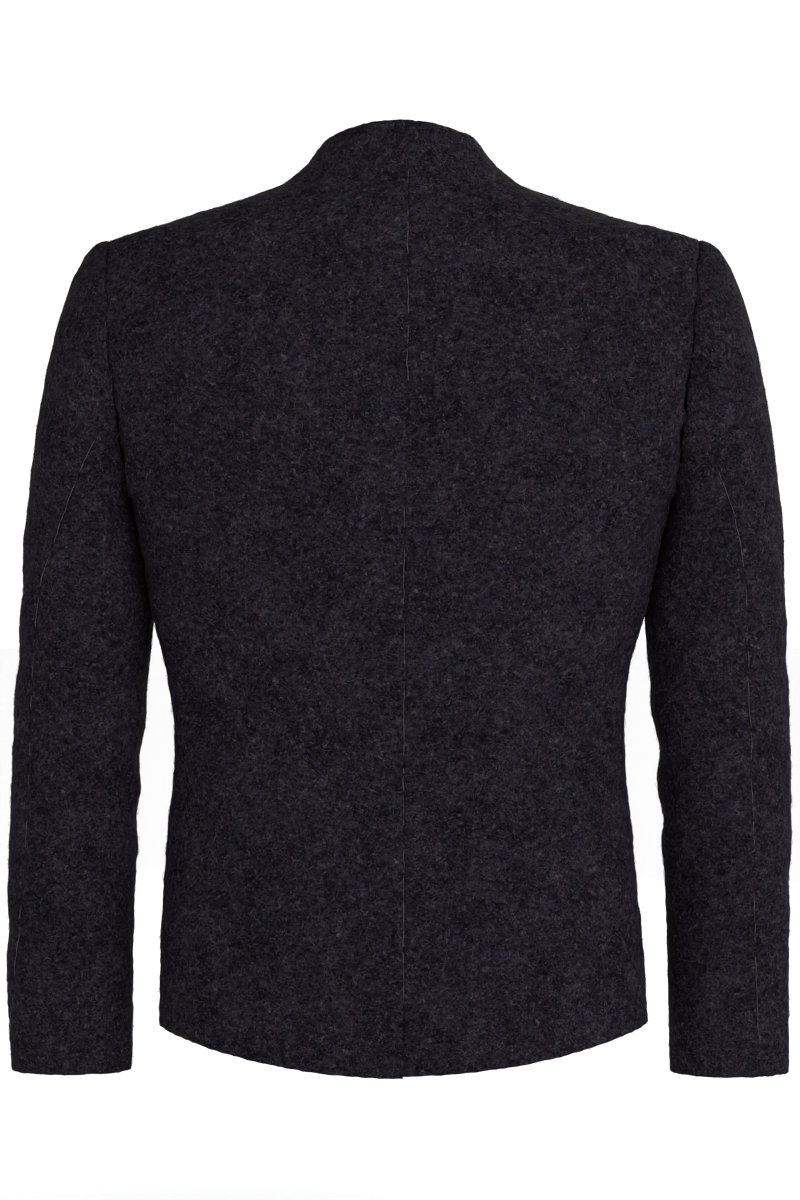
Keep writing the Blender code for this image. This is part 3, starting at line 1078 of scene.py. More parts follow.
@dataclass
class StrandMaker:
    """Joins many thin closed strands into one mesh.

    Strands take their finishes by steps of the golden ratio, which spreads each finish evenly.
    """

    GOLDEN_STEP = 0.618034

    sides: int = 3
    points: list[Array] = field(default_factory=list)
    faces: list[Array] = field(default_factory=list)
    caps: list[Array] = field(default_factory=list)
    count: int = 0

    def add(self, paths: Array, normals: Array, radii: Array, pointed_start: bool) -> None:
        """Adds strands that all have the same number of stations.

        Args:
            paths: stations of each strand, strands by stations by 3.
            normals: the way out of the cloth at each station.
            radii: the strand's radius at each station, strands by stations.
            pointed_start: whether the strand starts in a point as it ends in one, or in a flat cap.
        """
        strands, stations = paths.shape[:2]
        along = unit(np.gradient(paths, axis=1))
        aside = unit(np.cross(normals, along))
        outward = unit(np.cross(along, aside))
        turns = np.arange(self.sides) * math.tau / self.sides
        first = 1 if pointed_start else 0
        rings = np.arange(first, stations - 1)
        around = (
            aside[:, rings, None] * np.cos(turns)[:, None] + outward[:, rings, None] * np.sin(turns)[:, None]
        )
        tube = paths[:, rings, None] + around * radii[:, rings, None, None]
        parts = [tube.reshape(strands, -1, 3), paths[:, -1:]]
        if pointed_start:
            parts.append(paths[:, :1])
        made = np.concatenate(parts, axis=1)
        each = made.shape[1]
        base = self.count + np.arange(strands)[:, None, None] * each
        ring = np.arange(self.sides)
        following = (ring + 1) % self.sides
        step = np.arange(len(rings) - 1)[:, None] * self.sides
        ahead = step + self.sides
        quads = np.stack([step + ring, step + following, ahead + following, ahead + ring], axis=2)
        self.faces.append((base + quads.reshape(1, -1, 4)).reshape(-1, 4))
        last = (len(rings) - 1) * self.sides
        tip = np.full(self.sides, len(rings) * self.sides)
        self.caps.append((base + np.stack([last + ring, last + following, tip], 1)[None]).reshape(-1, 3))
        if pointed_start:
            self.caps.append((base + np.stack([following, ring, tip + 1], 1)[None]).reshape(-1, 3))
        else:
            for index in range(1, self.sides - 1):
                cap = np.array([0, index + 1, index])
                self.caps.append((base + cap).reshape(-1, 3))
        self.points.append(made.reshape(-1, 3))
        self.count += strands * each

    def build(
        self, name: str, materials: list[bpy.types.Material], shares: tuple[float, ...] = (1.0,)
    ) -> bpy.types.Object:
        """Makes the joined mesh.

        Args:
            name: the piece's name.
            materials: the finishes of the strands.
            shares: the running share of strands that take each finish, the last one being 1.

        Returns:
            The object.
        """
        points = np.concatenate(self.points)
        faces = [*np.concatenate(self.faces).tolist(), *np.concatenate(self.caps).tolist()]
        slots = None
        if len(materials) > 1:
            owner = np.array([face[0] for face in faces])
            lot = (owner // self.strand_size() * self.GOLDEN_STEP) % 1.0
            slots = np.searchsorted(np.array(shares), lot)
        return make_object(name, points, faces, materials, slots)

    def strand_size(self) -> int:
        """The number of points of one strand, where all strands are alike."""
        return self.points[0].shape[0] // self.strand_total()

    def strand_total(self) -> int:
        """The number of strands in the first lot."""
        return self.caps[0].shape[0] // self.sides


@dataclass(frozen=True)
class Fuzz:
    """Loose wool fibres on the cloth: how many, how long and how far they stand off.

    Each fibre starts a little below the surface, arches over it and ends with its tip lying or standing up.
    Headings and curls are in radians. Most fibres run round the cloth rather than along its length.
    """

    per_square_metre: float = 15500.0
    shortest: float = 4.0
    longest: float = 13.0
    radius: float = 0.12
    stations: int = 4
    overshoot: float = 0.7
    pale_share: float = 0.42
    length_bias: float = 1.7
    heading_spread: float = 0.9
    curl_spread: float = 0.9
    root_depth: float = 0.25
    arch: float = 0.45
    arch_stretch: float = 1.1
    loft_shape: float = 2.0
    loft_scale: float = 0.22
    tip_rise: float = 0.35
    tip_spread: float = 0.55
    tip_range: tuple[float, float] = (-0.2, 1.8)
    thickness_range: tuple[float, float] = (0.75, 1.3)
    taper: float = 0.35

    def grow(self, name: str, outer: Array, normal: Array, finishes: Wardrobe, seed: int) -> bpy.types.Object:
        """Grows fibres out of one piece of cloth, each following its surface.

        Args:
            name: the name of the fibres' mesh.
            outer: the cloth's outer points, rows by columns.
            normal: the ways out of the cloth there.
            finishes: the finishes in use.
            seed: the seed of their places.

        Returns:
            The joined fibres.
        """
        rng = np.random.default_rng(seed)
        down, over = np.diff(outer, axis=0)[:, :-1], np.diff(outer, axis=1)[:-1]
        cell = np.linalg.norm(np.cross(down, over), axis=2)
        count = int(cell.sum() * MM**2 * self.per_square_metre)
        picked = rng.choice(cell.size, count, p=cell.ravel() / cell.sum())
        row, column = np.unravel_index(picked, cell.shape)
        row_pitch = np.linalg.norm(down[row, column], axis=1)
        column_pitch = np.linalg.norm(over[row, column], axis=1)
        length = self.shortest + (self.longest - self.shortest) * rng.random(count) ** self.length_bias
        heading = rng.normal(0, self.heading_spread, count) + np.pi * rng.integers(0, 2, count)
        curl = rng.normal(0, self.curl_spread, count)
        t = np.linspace(0, 1, self.stations)
        angle = heading[:, None] + curl[:, None] * t
        step = length[:, None] / (self.stations - 1)
        travel_over = np.cumsum(np.cos(angle) * step, axis=1) - np.cos(angle[:, :1]) * step
        travel_down = np.cumsum(np.sin(angle) * step, axis=1) - np.sin(angle[:, :1]) * step
        rows = (row + rng.random(count))[:, None] + travel_down / row_pitch[:, None]
        columns = (column + rng.random(count))[:, None] + travel_over / column_pitch[:, None]
        rows = np.clip(rows, -self.overshoot, outer.shape[0] - 1 + self.overshoot)
        columns = np.clip(columns, -self.overshoot, outer.shape[1] - 1 + self.overshoot)
        path = self.read(outer, rows, columns)
        facing = unit(self.read(normal, rows, columns))
        loft = rng.gamma(self.loft_shape, self.loft_scale, count)[:, None]
        tip = rng.normal(self.tip_rise, self.tip_spread, count).clip(*self.tip_range)[:, None]
        arc = np.sin(np.pi * np.clip(t * self.arch_stretch, 0, 1))
        rise = -self.root_depth + (loft + self.arch) * arc + tip * t**2
        path = path + facing * rise[:, :, None]
        thickness = rng.uniform(*self.thickness_range, count)[:, None]
        radii = self.radius * thickness * (1 - self.taper * t)
        maker = StrandMaker(sides=3)
        maker.add(path, facing, radii, pointed_start=False)
        return maker.build(name, [finishes.pale_fibre, finishes.dark_fibre], (self.pale_share, 1.0))

    def read(self, grid: Array, rows: Array, columns: Array) -> Array:
        """Reads a grid at fractional rows and columns, going straight on past its edges.

        Args:
            grid: points or directions, rows by columns.
            rows: the fractional rows to read at.
            columns: the fractional columns to read at.

        Returns:
            One point or direction for each place.
        """
        low_row = np.clip(rows.astype(int), 0, grid.shape[0] - 2)
        low_column = np.clip(columns.astype(int), 0, grid.shape[1] - 2)
        u, v = (rows - low_row)[..., None], (columns - low_column)[..., None]
        near = grid[low_row, low_column] * (1 - v) + grid[low_row, low_column + 1] * v
        far = grid[low_row + 1, low_column] * (1 - v) + grid[low_row + 1, low_column + 1] * v
        return near * (1 - u) + far * u


@dataclass
class ClothPiece:
    """One cut piece of boiled wool, as a closed wall with its relief."""

    node: str
    side: Side
    grid: Array
    normal: Array
    across: Array
    creases: tuple[Crease, ...]
    seams: tuple[Edge, ...]
    raw_edges: tuple[Edge, ...]
    armhole: Edge
    armhole_share: Array
    # The pieces of cloth that carry this one.
    hangs_from: tuple[str, ...] = ()
    coarse_lump: float = 10.0
    lump_stretch: float = 1.3
    coarse_height: float = 0.6
    fine_lump: float = 4.8
    fine_height: float = 0.4
    inside_share: float = 0.6
    groove_depth: float = 0.55
    groove_width: float = 1.6
    sway_out: float = 1.5
    sway_size: float = 13.0
    fine_sway_share: float = 0.5
    fine_sway_size: float = 5.0
    sway_reach: float = 6.0
    valley_depth: float = 1.3
    valley_width: float = 3.0
    valley_waver: float = 1.7
    valley_size: float = 17.0
    valley_armpit: tuple[float, float] = (130.0, 240.0)
    valley_widening: float = 1.1
    valley_width_drift: float = 0.35
    valley_deepening: float = 0.4
    valley_depth_drift: float = 0.7
    ragged_out: float = 0.75
    ragged_share: float = 0.65
    ragged_size: float = 6.5
    fine_ragged_share: float = 0.5
    fine_ragged_size: float = 2.4
    ragged_reach: float = 5.0
    rounding: float = 0.5
    rounding_reach: float = 1.2
    nap: float = 0.6
    levels_measured: int = 80
    outer: Array = field(init=False)
    facing: Array = field(init=False)

    def shape(self, felt: FeltNoise) -> tuple[Array, Array]:
        """Works out the wall's outer points and its inner ones, which are half as dense.

        Args:
            felt: the noise that lumps and frays the cloth.

        Returns:
            The outer grid and the inner grid.
        """
        mirror = np.array([self.side.value, 1, 1])
        body, facing = self.grid * mirror, self.normal * mirror
        body = self.sway(body, felt)
        height = sum(crease.height_at(self.across, self.grid[:, :, 2]) for crease in self.creases)
        body = body + facing * np.asarray(height)[..., None]
        for edge in self.raw_edges:
            body = self.fray(body, edge, felt)
        wide = self.coarse_lump * self.lump_stretch
        lump = (wide, wide, self.coarse_lump)
        lumps = self.nap + self.coarse_height * felt.at(body, lump, Layer.LUMPS)
        lumps += self.fine_height * felt.at(body, self.fine_lump, Layer.FINE_LUMPS)
        for edge in self.seams:
            groove = self.groove_depth * np.exp(-((distance_from(body, edge) / self.groove_width) ** 2))
            lumps -= groove * (1 - self.armhole_share)
        lumps -= self.valley(body, felt)
        for edge in self.raw_edges:
            lumps -= self.rounding * np.exp(-distance_from(body, edge) / self.rounding_reach)
        self.outer = body + facing * lumps[..., None]
        self.facing = facing
        inside = self.inside_share * self.coarse_height * felt.at(body, self.coarse_lump, Layer.INSIDE)
        inner = body - facing * (CLOTH + inside)[..., None]
        return self.outer, inner[::2, ::2]

    def sway(self, body: Array, felt: FeltNoise) -> Array:
        """Lets the armhole's line run in and out a little, the same way for the pieces on both sides of it.

        Args:
            body: the piece's points.
            felt: the noise by which it sways.

        Returns:
            The moved points.
        """
        coarse = felt.at(body, self.sway_size, Layer.SWAY)
        fine = felt.at(body, self.fine_sway_size, Layer.FINE_SWAY)
        amount = self.sway_out * (coarse + self.fine_sway_share * fine)
        reach = self.armhole_share * np.exp(-((distance_from(body, self.armhole) / self.sway_reach) ** 2))
        return body + (amount * reach)[..., None] * (1.0, 0.0, 0.0)

    def valley(self, body: Array, felt: FeltNoise) -> Array:
        """How far the cloth sinks beside the armhole, where the sleeve pulls the seam in.

        The valley wavers from one side of the seam to the other, and is wider and deeper near the armpit.

        Args:
            body: the piece's points.
            felt: the noise by which it wavers.

        Returns:
            A depth for each point.
        """
        beyond = 1 if self.armhole is Edge.LOWEST_ROW else -1
        waver = self.valley_waver * felt.at(body, self.valley_size, Layer.VALLEY_WAVER)
        aside = beyond * distance_from(body, self.armhole) - waver
        low = soft_step(-body[:, :, 2], *self.valley_armpit)
        uneven = felt.at(body, 2 * self.valley_size, Layer.VALLEY_DEPTH)
        width = self.valley_width * (1 + self.valley_widening * low + self.valley_width_drift * uneven)
        depth = self.valley_depth * (1 + self.valley_deepening * low + self.valley_depth_drift * uneven)
        return self.armhole_share * depth * np.exp(-((aside / width) ** 2))

    def fray(self, body: Array, edge: Edge, felt: FeltNoise) -> Array:
        """Makes a raw edge run in and out a little.

        Args:
            body: the piece's points.
            edge: the raw edge.
            felt: the noise that frays it.

        Returns:
            The moved points.
        """
        axis, end = edge.value
        step = 1 if end == 0 else -2
        line = np.take(body, [end], axis=axis)
        inward = unit(np.take(body, [step], axis=axis) - line)
        coarse = self.ragged_share * felt.at(line, self.ragged_size, Layer.RAGGED)
        fine = self.fine_ragged_share * felt.at(line, self.fine_ragged_size, Layer.FINE_RAGGED)
        amount = self.ragged_out * (coarse + fine)
        reach = np.exp(-distance_from(body, edge) / self.ragged_reach)
        return body + inward * (amount * reach)[..., None]

    def wall(self, outer: Array, inner: Array) -> tuple[Array, list, list]:
        """Joins the two grids into one closed wall.

        Args:
            outer: the outer grid.
            inner: the inner grid, with every second row and column.

        Returns:
            The points, the faces, and whether each face is shaded smooth: all are but the rims in the seams,
            where two pieces meet edge to edge.
        """
        rows, columns = outer.shape[:2]
        outside = np.arange(rows * columns).reshape(rows, columns)
        inside = outside.size + np.arange(inner.shape[0] * inner.shape[1]).reshape(inner.shape[:2])
        quads = [outside[:-1, :-1], outside[:-1, 1:], outside[1:, 1:], outside[1:, :-1]]
        back = [inside[:-1, :-1], inside[1:, :-1], inside[1:, 1:], inside[:-1, 1:]]
        faces = np.stack(quads, 2).reshape(-1, 4).tolist() + np.stack(back, 2).reshape(-1, 4).tolist()
        smooth_faces = [True] * len(faces)
        rims = (
            (Edge.LOWEST_ROW, outside[0], inside[0]),
            (Edge.LAST_COLUMN, outside[:, -1], inside[:, -1]),
            (Edge.HIGHEST_ROW, outside[-1, ::-1], inside[-1, ::-1]),
            (Edge.FIRST_COLUMN, outside[::-1, 0], inside[::-1, 0]),
        )
        for edge, fine, coarse in rims:
            for index in range(len(coarse) - 1):
                a, b, c = fine[2 * index : 2 * index + 3].tolist()
                d, e = coarse[index : index + 2].tolist()
                faces.extend(([b, a, d], [b, d, e], [c, b, e]))
                smooth_faces.extend([edge in self.raw_edges] * 3)
        points = np.concatenate([outer.reshape(-1, 3), inner.reshape(-1, 3)])
        middle = (rows // 2, columns // 2)
        way_out = np.cross(
            outer[middle[0], middle[1] + 1] - outer[middle], outer[middle[0] + 1, middle[1]] - outer[middle]
        )
        if way_out @ self.facing[middle] < 0:
            faces = [face[::-1] for face in faces]
        return points, faces, smooth_faces

    def make(self, felt: FeltNoise, fuzz: Fuzz, finishes: Wardrobe, seed: int) -> None:
        """Makes the cloth and its loose fibres, hides the imported part it stands for, and logs the cloth's
        cut size.

        Args:
            felt: the noise that lumps and frays the cloth.
            fuzz: how its loose fibres grow.
            finishes: the finishes in use.
            seed: the seed of the fibres' places.
        """
        outer, inner = self.shape(felt)
        points, faces, smooth_faces = self.wall(outer, inner)
        cloth = make_object(f"cloth_{self.node}", points, faces, [finishes.loden])
        cloth.data.polygons.foreach_set("use_smooth", smooth_faces)
        fibres = fuzz.grow(f"fuzz_{self.node}", outer, self.facing, finishes, seed)
        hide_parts(self.node)
        width, length, area = self.cut_size()
        LOG.info("%s: cut %.3f x %.3f m, %.4f m2", cloth.name, width, length, area)

    def cut_size(self) -> tuple[float, float, float]:
        """The size of the flat cut.

        The width is that of the widest level line round the piece. The length is the piece's height, drawn
        out as much as its first edge is by its curve.

        Returns:
            The width and the length in metres, and the area in square metres.
        """
        heights = self.grid[:, :, 2]
        edge = self.grid[:, 0]
        drawn_out = np.linalg.norm(np.diff(edge, axis=0), axis=1).sum() / abs(edge[-1, 2] - edge[0, 2])
        length = float((heights.max() - heights.min()) * drawn_out) * MM
        levels = np.linspace(heights.min(), heights.max(), self.levels_measured)[1:-1]
        width = max(self.level_width(level) for level in levels) * MM
        return width, length, min(grid_area(self.grid) * MM**2, width * length)

    def level_width(self, level: float) -> float:
        """The length of the level line round the piece at one height.

        Args:
            level: the height.

        Returns:
            The length in millimetres.
        """
        above = self.grid[:, :, 2] > level
        crossing = above[:-1] != above[1:]
        column = np.flatnonzero(crossing.any(axis=0))
        row = crossing.argmax(axis=0)[column]
        near, far = self.grid[row, column], self.grid[row + 1, column]
        share = (level - near[:, 2]) / (far[:, 2] - near[:, 2])
        line = near + (far - near) * share[:, None]
        return float(np.linalg.norm(np.diff(line, axis=0), axis=1).sum())


def read_line(places: Array, run: Array, values: Array) -> Array:
    """Reads points or directions along a line at other places.

    Args:
        places: the places to read at.
        run: the place of each given point or direction.
        values: the points or directions, one row each.

    Returns:
        A row for each place.
    """
    return np.stack([np.interp(places, run, values[:, axis]) for axis in range(3)], axis=1)


@dataclass(frozen=True)
class SeamThread:
    """Sewing thread that shows along a seam.

    It dips at each stitch, wavers, and sinks in the wool in places.
    """

    stitch: float = 2.8
    station: float = 1.1
    radius: float = 0.2
    proud: float = 0.36
    beside: float = 0.3
    dip: float = 0.12
    sink: float = 0.75
    mean_sink: float = 0.5
    fine_sink_share: float = 0.6
    sink_size: float = 11.0
    waver: float = 0.8
    waver_size: float = 30.0
    kink: float = 0.5
    kink_size: float = 6.5
    sides: int = 5

    def sew(
        self, name: str, line: Array, facing: Array, way: int, felt: FeltNoise, finishes: Wardrobe
    ) -> None:
        """Sews along a line.

        Args:
            name: the name of the thread's mesh.
            line: points along the seam.
            facing: the ways out of the cloth there.
            way: the side of the line on which the thread lies, 1 or -1.
            felt: the noise by which it wavers and sinks.
            finishes: the finishes in use.
        """
        run = np.concatenate([[0], np.cumsum(np.linalg.norm(np.diff(line, axis=0), axis=1))])
        places = np.arange(0, run[-1], self.station)
        path = read_line(places, run, line)
        out = unit(read_line(places, run, facing))
        aside = unit(np.cross(out, np.gradient(path, axis=0)))
        sunk = self.mean_sink + felt.at(path, self.sink_size, Layer.SINK)
        sunk += self.fine_sink_share * felt.at(path, self.sink_size / 3, Layer.FINE_SINK)
        rise = self.proud + self.dip * np.cos(places * math.tau / self.stitch)
        rise -= self.sink * sunk
        waver = self.waver * felt.at(path, self.waver_size, Layer.WAVER)
        kink = self.kink * felt.at(path, self.kink_size, Layer.KINK)
        sway = way * self.beside + waver + kink
        path = path + out * rise[:, None] + aside * sway[:, None]
        maker = StrandMaker(sides=self.sides)
        maker.add(path[None], out[None], np.full((1, len(path)), self.radius), pointed_start=True)
        made = maker.build(name, [finishes.thread])


@dataclass
class ButtonRow:
    """The five horn buttons down the left front, with their threads and buttonholes.

    A tie is a thread between two of a button's holes, and a bar is a thread that binds a buttonhole's edge.
    Their stations are shares of a tie's half length or of a bar's length, each with its height.
    """

    thickness: float = 4.4
    dish: float = 0.6
    hole_circle: float = 6.0
    standoff: float = 0.5
    heights: tuple[float, ...] = (-112.0, -212.0, -312.0, -412.0, -512.0)
    strand_radius: float = 0.28
    strand_pitch: float = 1.7
    strands: int = 3
    tie_stations: tuple[float, ...] = (-1.0, -0.85, 0.0, 0.85, 1.0)
    tie_heights: tuple[float, ...] = (-1.6, 0.1, 0.75, 0.1, -1.6)
    hole_length: float = 24.0
    hole_width: float = 1.6
    bar_pitch: float = 0.75
    bar_length: float = 2.0
    bar_radius: float = 0.3
    bar_stations: tuple[float, ...] = (0.0, 0.3, 0.7, 1.0)
    bar_heights: tuple[float, ...] = (-0.3, 0.35, 0.35, -0.3)

    def dress(self, front: ClothPiece, finishes: Wardrobe) -> None:
        """Gives the buttons their finish, and sews them on.

        Args:
            front: the left front, with its outer points worked out.
            finishes: the finishes in use.
        """
        threads, holes = StrandMaker(sides=6), StrandMaker(sides=5)
        for number, height in enumerate(self.heights, start=1):
            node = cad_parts[f"button_{number}"]
            node.data.materials.clear()
            node.data.materials.append(finishes.horn)
            centre, out = self.place(front, height)
            up = unit(np.cross(out, (1.0, 0.0, 0.0)))
            self.tie(threads, centre, out, up)
            self.bind(holes, front, height)
        sewn = threads.build("button_threads", [finishes.thread])
        bound = holes.build("buttonholes", [finishes.dark_fibre])
        LOG.info("buttons: %d dressed and sewn on", len(self.heights))

    def place(self, front: ClothPiece, height: float) -> tuple[Array, Array]:
        """Finds a button's place on the plain form of the front.

        Args:
            front: the left front.
            height: the height of the button's middle.

        Returns:
            The middle of the button's back, and the way it faces.
        """
        line, facing = [], []
        for points, normals in zip(front.grid, front.normal):
            line.append([np.interp(0, points[:, 0], points[:, axis]) for axis in (1, 2)])
            facing.append([np.interp(0, points[:, 0], normals[:, axis]) for axis in (1, 2)])
        line, facing = np.array(line), np.array(facing)
        y, out_y, out_z = (np.interp(height, line[:, 1], values) for values in (line[:, 0], *facing.T))
        out = unit(np.array([0.0, out_y, out_z]))
        return np.array([0.0, y, height]) + out * self.standoff, out

    def tie(self, maker: StrandMaker, centre: Array, out: Array, up: Array) -> None:
        """Adds the threads between a button's holes, two rows of several strands side by side.

        Args:
            maker: what joins the threads.
            centre: the middle of the button's back.
            out: the way the button faces.
            up: the way up along its face.
        """
        # The four holes stand in a square, so each is this far to the side and up.
        reach = self.hole_circle / 2 * math.sqrt(0.5)
        share = np.array(self.tie_stations)
        rise = self.thickness * self.dish + np.array(self.tie_heights)
        for row in (-1, 1):
            for strand in range(self.strands):
                aside = (strand - (self.strands - 1) / 2) * self.strand_radius * self.strand_pitch
                over = share[:, None] * reach * np.array([1.0, 0, 0])
                path = centre + over + (row * reach + aside) * up + rise[:, None] * out
                radii = np.full((1, len(share)), self.strand_radius)
                maker.add(path[None], np.tile(out, (1, len(share), 1)), radii, pointed_start=True)

    def bind(self, maker: StrandMaker, front: ClothPiece, height: float) -> None:
        """Adds the short bars of thread that bind the edges of one buttonhole.

        Args:
            maker: what joins the threads.
            front: the left front, with its outer points worked out.
            height: the height of the buttonhole.
        """
        across = np.arange(-self.hole_length / 2, self.hole_length / 2 + 1e-6, self.bar_pitch)
        # This column lies inside the lap, so its heights tell the buttonhole's row.
        in_lap = front.outer.shape[1] // 8
        row = int(np.argmin(np.abs(front.outer[:, in_lap, 2] - height)))
        xs = front.outer[row, :, 0]
        y = np.interp(across, xs, front.outer[row, :, 1])
        out = unit(read_line(across, xs, front.facing[row]))
        share, rise = np.array(self.bar_stations), np.array(self.bar_heights)
        radii = np.full((len(across), len(share)), self.bar_radius)
        for edge in (-1, 1):
            z = height + edge * (self.hole_width / 2 + share * self.bar_length)
            path = np.stack(np.broadcast_arrays(across[:, None], y[:, None], z), axis=2)
            path = path + out[:, None] * rise[:, None]
            maker.add(path, np.repeat(out[:, None], len(share), axis=1), radii, pointed_start=True)


BACK_CREASES = {
    Side.LEFT: (
        Crease((34, -14), (78, -20), 7, 1.3, 2),
        Crease((4, 12), (30, 6), 8, 0.8),
        Crease((236, -150), (232, -228), 10, 1.5, 3),
        Crease((205, -176), (196, -262), 13, 1.2, -5),
        Crease((214, -300), (120, -352), 15, 1.3, 8),
        Crease((196, -398), (70, -430), 13, 1.6, 6),
        Crease((204, -452), (96, -470), 15, 1.3, -6),
        Crease((60, -560), (30, -680), 20, 1.2, 5),
        Crease((150, -548), (132, -668), 18, 1.6, -4),
    ),
    Side.RIGHT: (
        Crease((2, 4), (58, -8), 10, 1.9, -4),
        Crease((60, -28), (96, -30), 7, 0.9),
        Crease((234, -142), (230, -226), 10, 1.5, -3),
        Crease((200, -190), (188, -270), 12, 1.1, 5),
        Crease((210, -318), (130, -346), 14, 1.5, -6),
        Crease((190, -386), (84, -440), 15, 1.5, -8),
        Crease((198, -460), (110, -452), 12, 1.2, 5),
        Crease((96, -566), (74, -676), 20, 1.4, -6),
        Crease((168, -560), (160, -650), 16, 1.3, 4),
    ),
}
# The first crease of each front runs down the lap. On the left it is a ridge just inside the edge, and on the
# right it is a trough just beyond the edge that laps over.
FRONT_CREASES = {
    Side.LEFT: (
        Crease((-15, 60), (-15, -760), 4.5, -1.3),
        Crease((206, -120), (196, -214), 10, 5.1, 3),
        Crease((180, -236), (110, -214), 14, 3.5, 6),
        Crease((26, -312), (96, -338), 9, 2.3, 4),
        Crease((28, -412), (120, -430), 11, 3.2, -5),
        Crease((214, -420), (120, -404), 14, 3.1, 5),
        Crease((210, -470), (110, -462), 14, 2.6, -5),
        Crease((70, -560), (56, -650), 18, 2.6, 4),
        Crease((160, -540), (150, -650), 18, 3.1, -4),
        Crease((60, -70), (120, -96), 12, 2.7, 4),
    ),
    Side.RIGHT: (
        Crease((22.5, 60), (22.5, -760), 4, 4.6),
        Crease((208, -128), (196, -220), 10, 4.7, -3),
        Crease((176, -240), (104, -226), 13, 3.1, -5),
        Crease((30, -318), (100, -330), 9, 2.2, -3),
        Crease((32, -416), (112, -442), 11, 3.1, 5),
        Crease((216, -410), (128, -424), 13, 2.9, -5),
        Crease((206, -478), (120, -458), 14, 2.3, 4),
        Crease((84, -556), (76, -652), 18, 2.3, -4),
        Crease((172, -548), (166, -646), 16, 2.7, 4),
        Crease((66, -74), (124, -90), 12, 2.6, -4),
    ),
}
UPPER_SLEEVE_CREASES = {
    Side.LEFT: (
        Crease((40, -262), (-12, -330), 12, 2.0, 6),
        Crease((38, -356), (-30, -398), 11, 1.5, -5),
        Crease((-96, -392), (-24, -424), 12, 2.4, 6),
        Crease((-98, -452), (-14, -446), 13, 2.8, -7),
        Crease((-94, -500), (-36, -486), 11, 2.0, 5),
        Crease((34, -560), (-20, -596), 12, 1.2, 4),
        Crease((-90, -600), (-20, -622), 12, 1.3, -4),
    ),
    Side.RIGHT: (
        Crease((52, -250), (4, -316), 12, 2.2, -6),
        Crease((56, -352), (-16, -372), 11, 1.6, 5),
        Crease((-98, -398), (-30, -412), 12, 2.2, -6),
        Crease((-98, -440), (-20, -462), 13, 2.9, 7),
        Crease((-94, -508), (-30, -494), 12, 1.9, -5),
        Crease((50, -524), (-8, -560), 13, 1.3, -4),
        Crease((-88, -610), (-26, -600), 12, 1.2, 4),
    ),
}
UNDER_SLEEVE_CREASES = {
    Side.LEFT: (
        Crease((58, -236), (112, -318), 12, 2.4, -6),
        Crease((64, -300), (130, -374), 12, 1.8, 5),
        Crease((52, -404), (112, -442), 12, 1.7, 4),
        Crease((218, -436), (140, -450), 13, 2.6, 6),
        Crease((220, -484), (150, -504), 12, 2.1, -5),
        Crease((44, -500), (104, -520), 13, 1.2, -4),
        Crease((60, -600), (120, -624), 13, 1.3, 4),
    ),
    Side.RIGHT: (
        Crease((70, -226), (118, -310), 12, 2.6, 6),
        Crease((74, -292), (136, -352), 12, 1.9, -5),
        Crease((72, -396), (124, -420), 12, 1.6, -4),
        Crease((218, -430), (144, -456), 13, 2.7, -6),
        Crease((220, -492), (156, -486), 12, 2.0, 5),
        Crease((70, -486), (118, -512), 13, 1.3, 4),
        Crease((74, -590), (126, -606), 13, 1.2, -4),
    ),
}


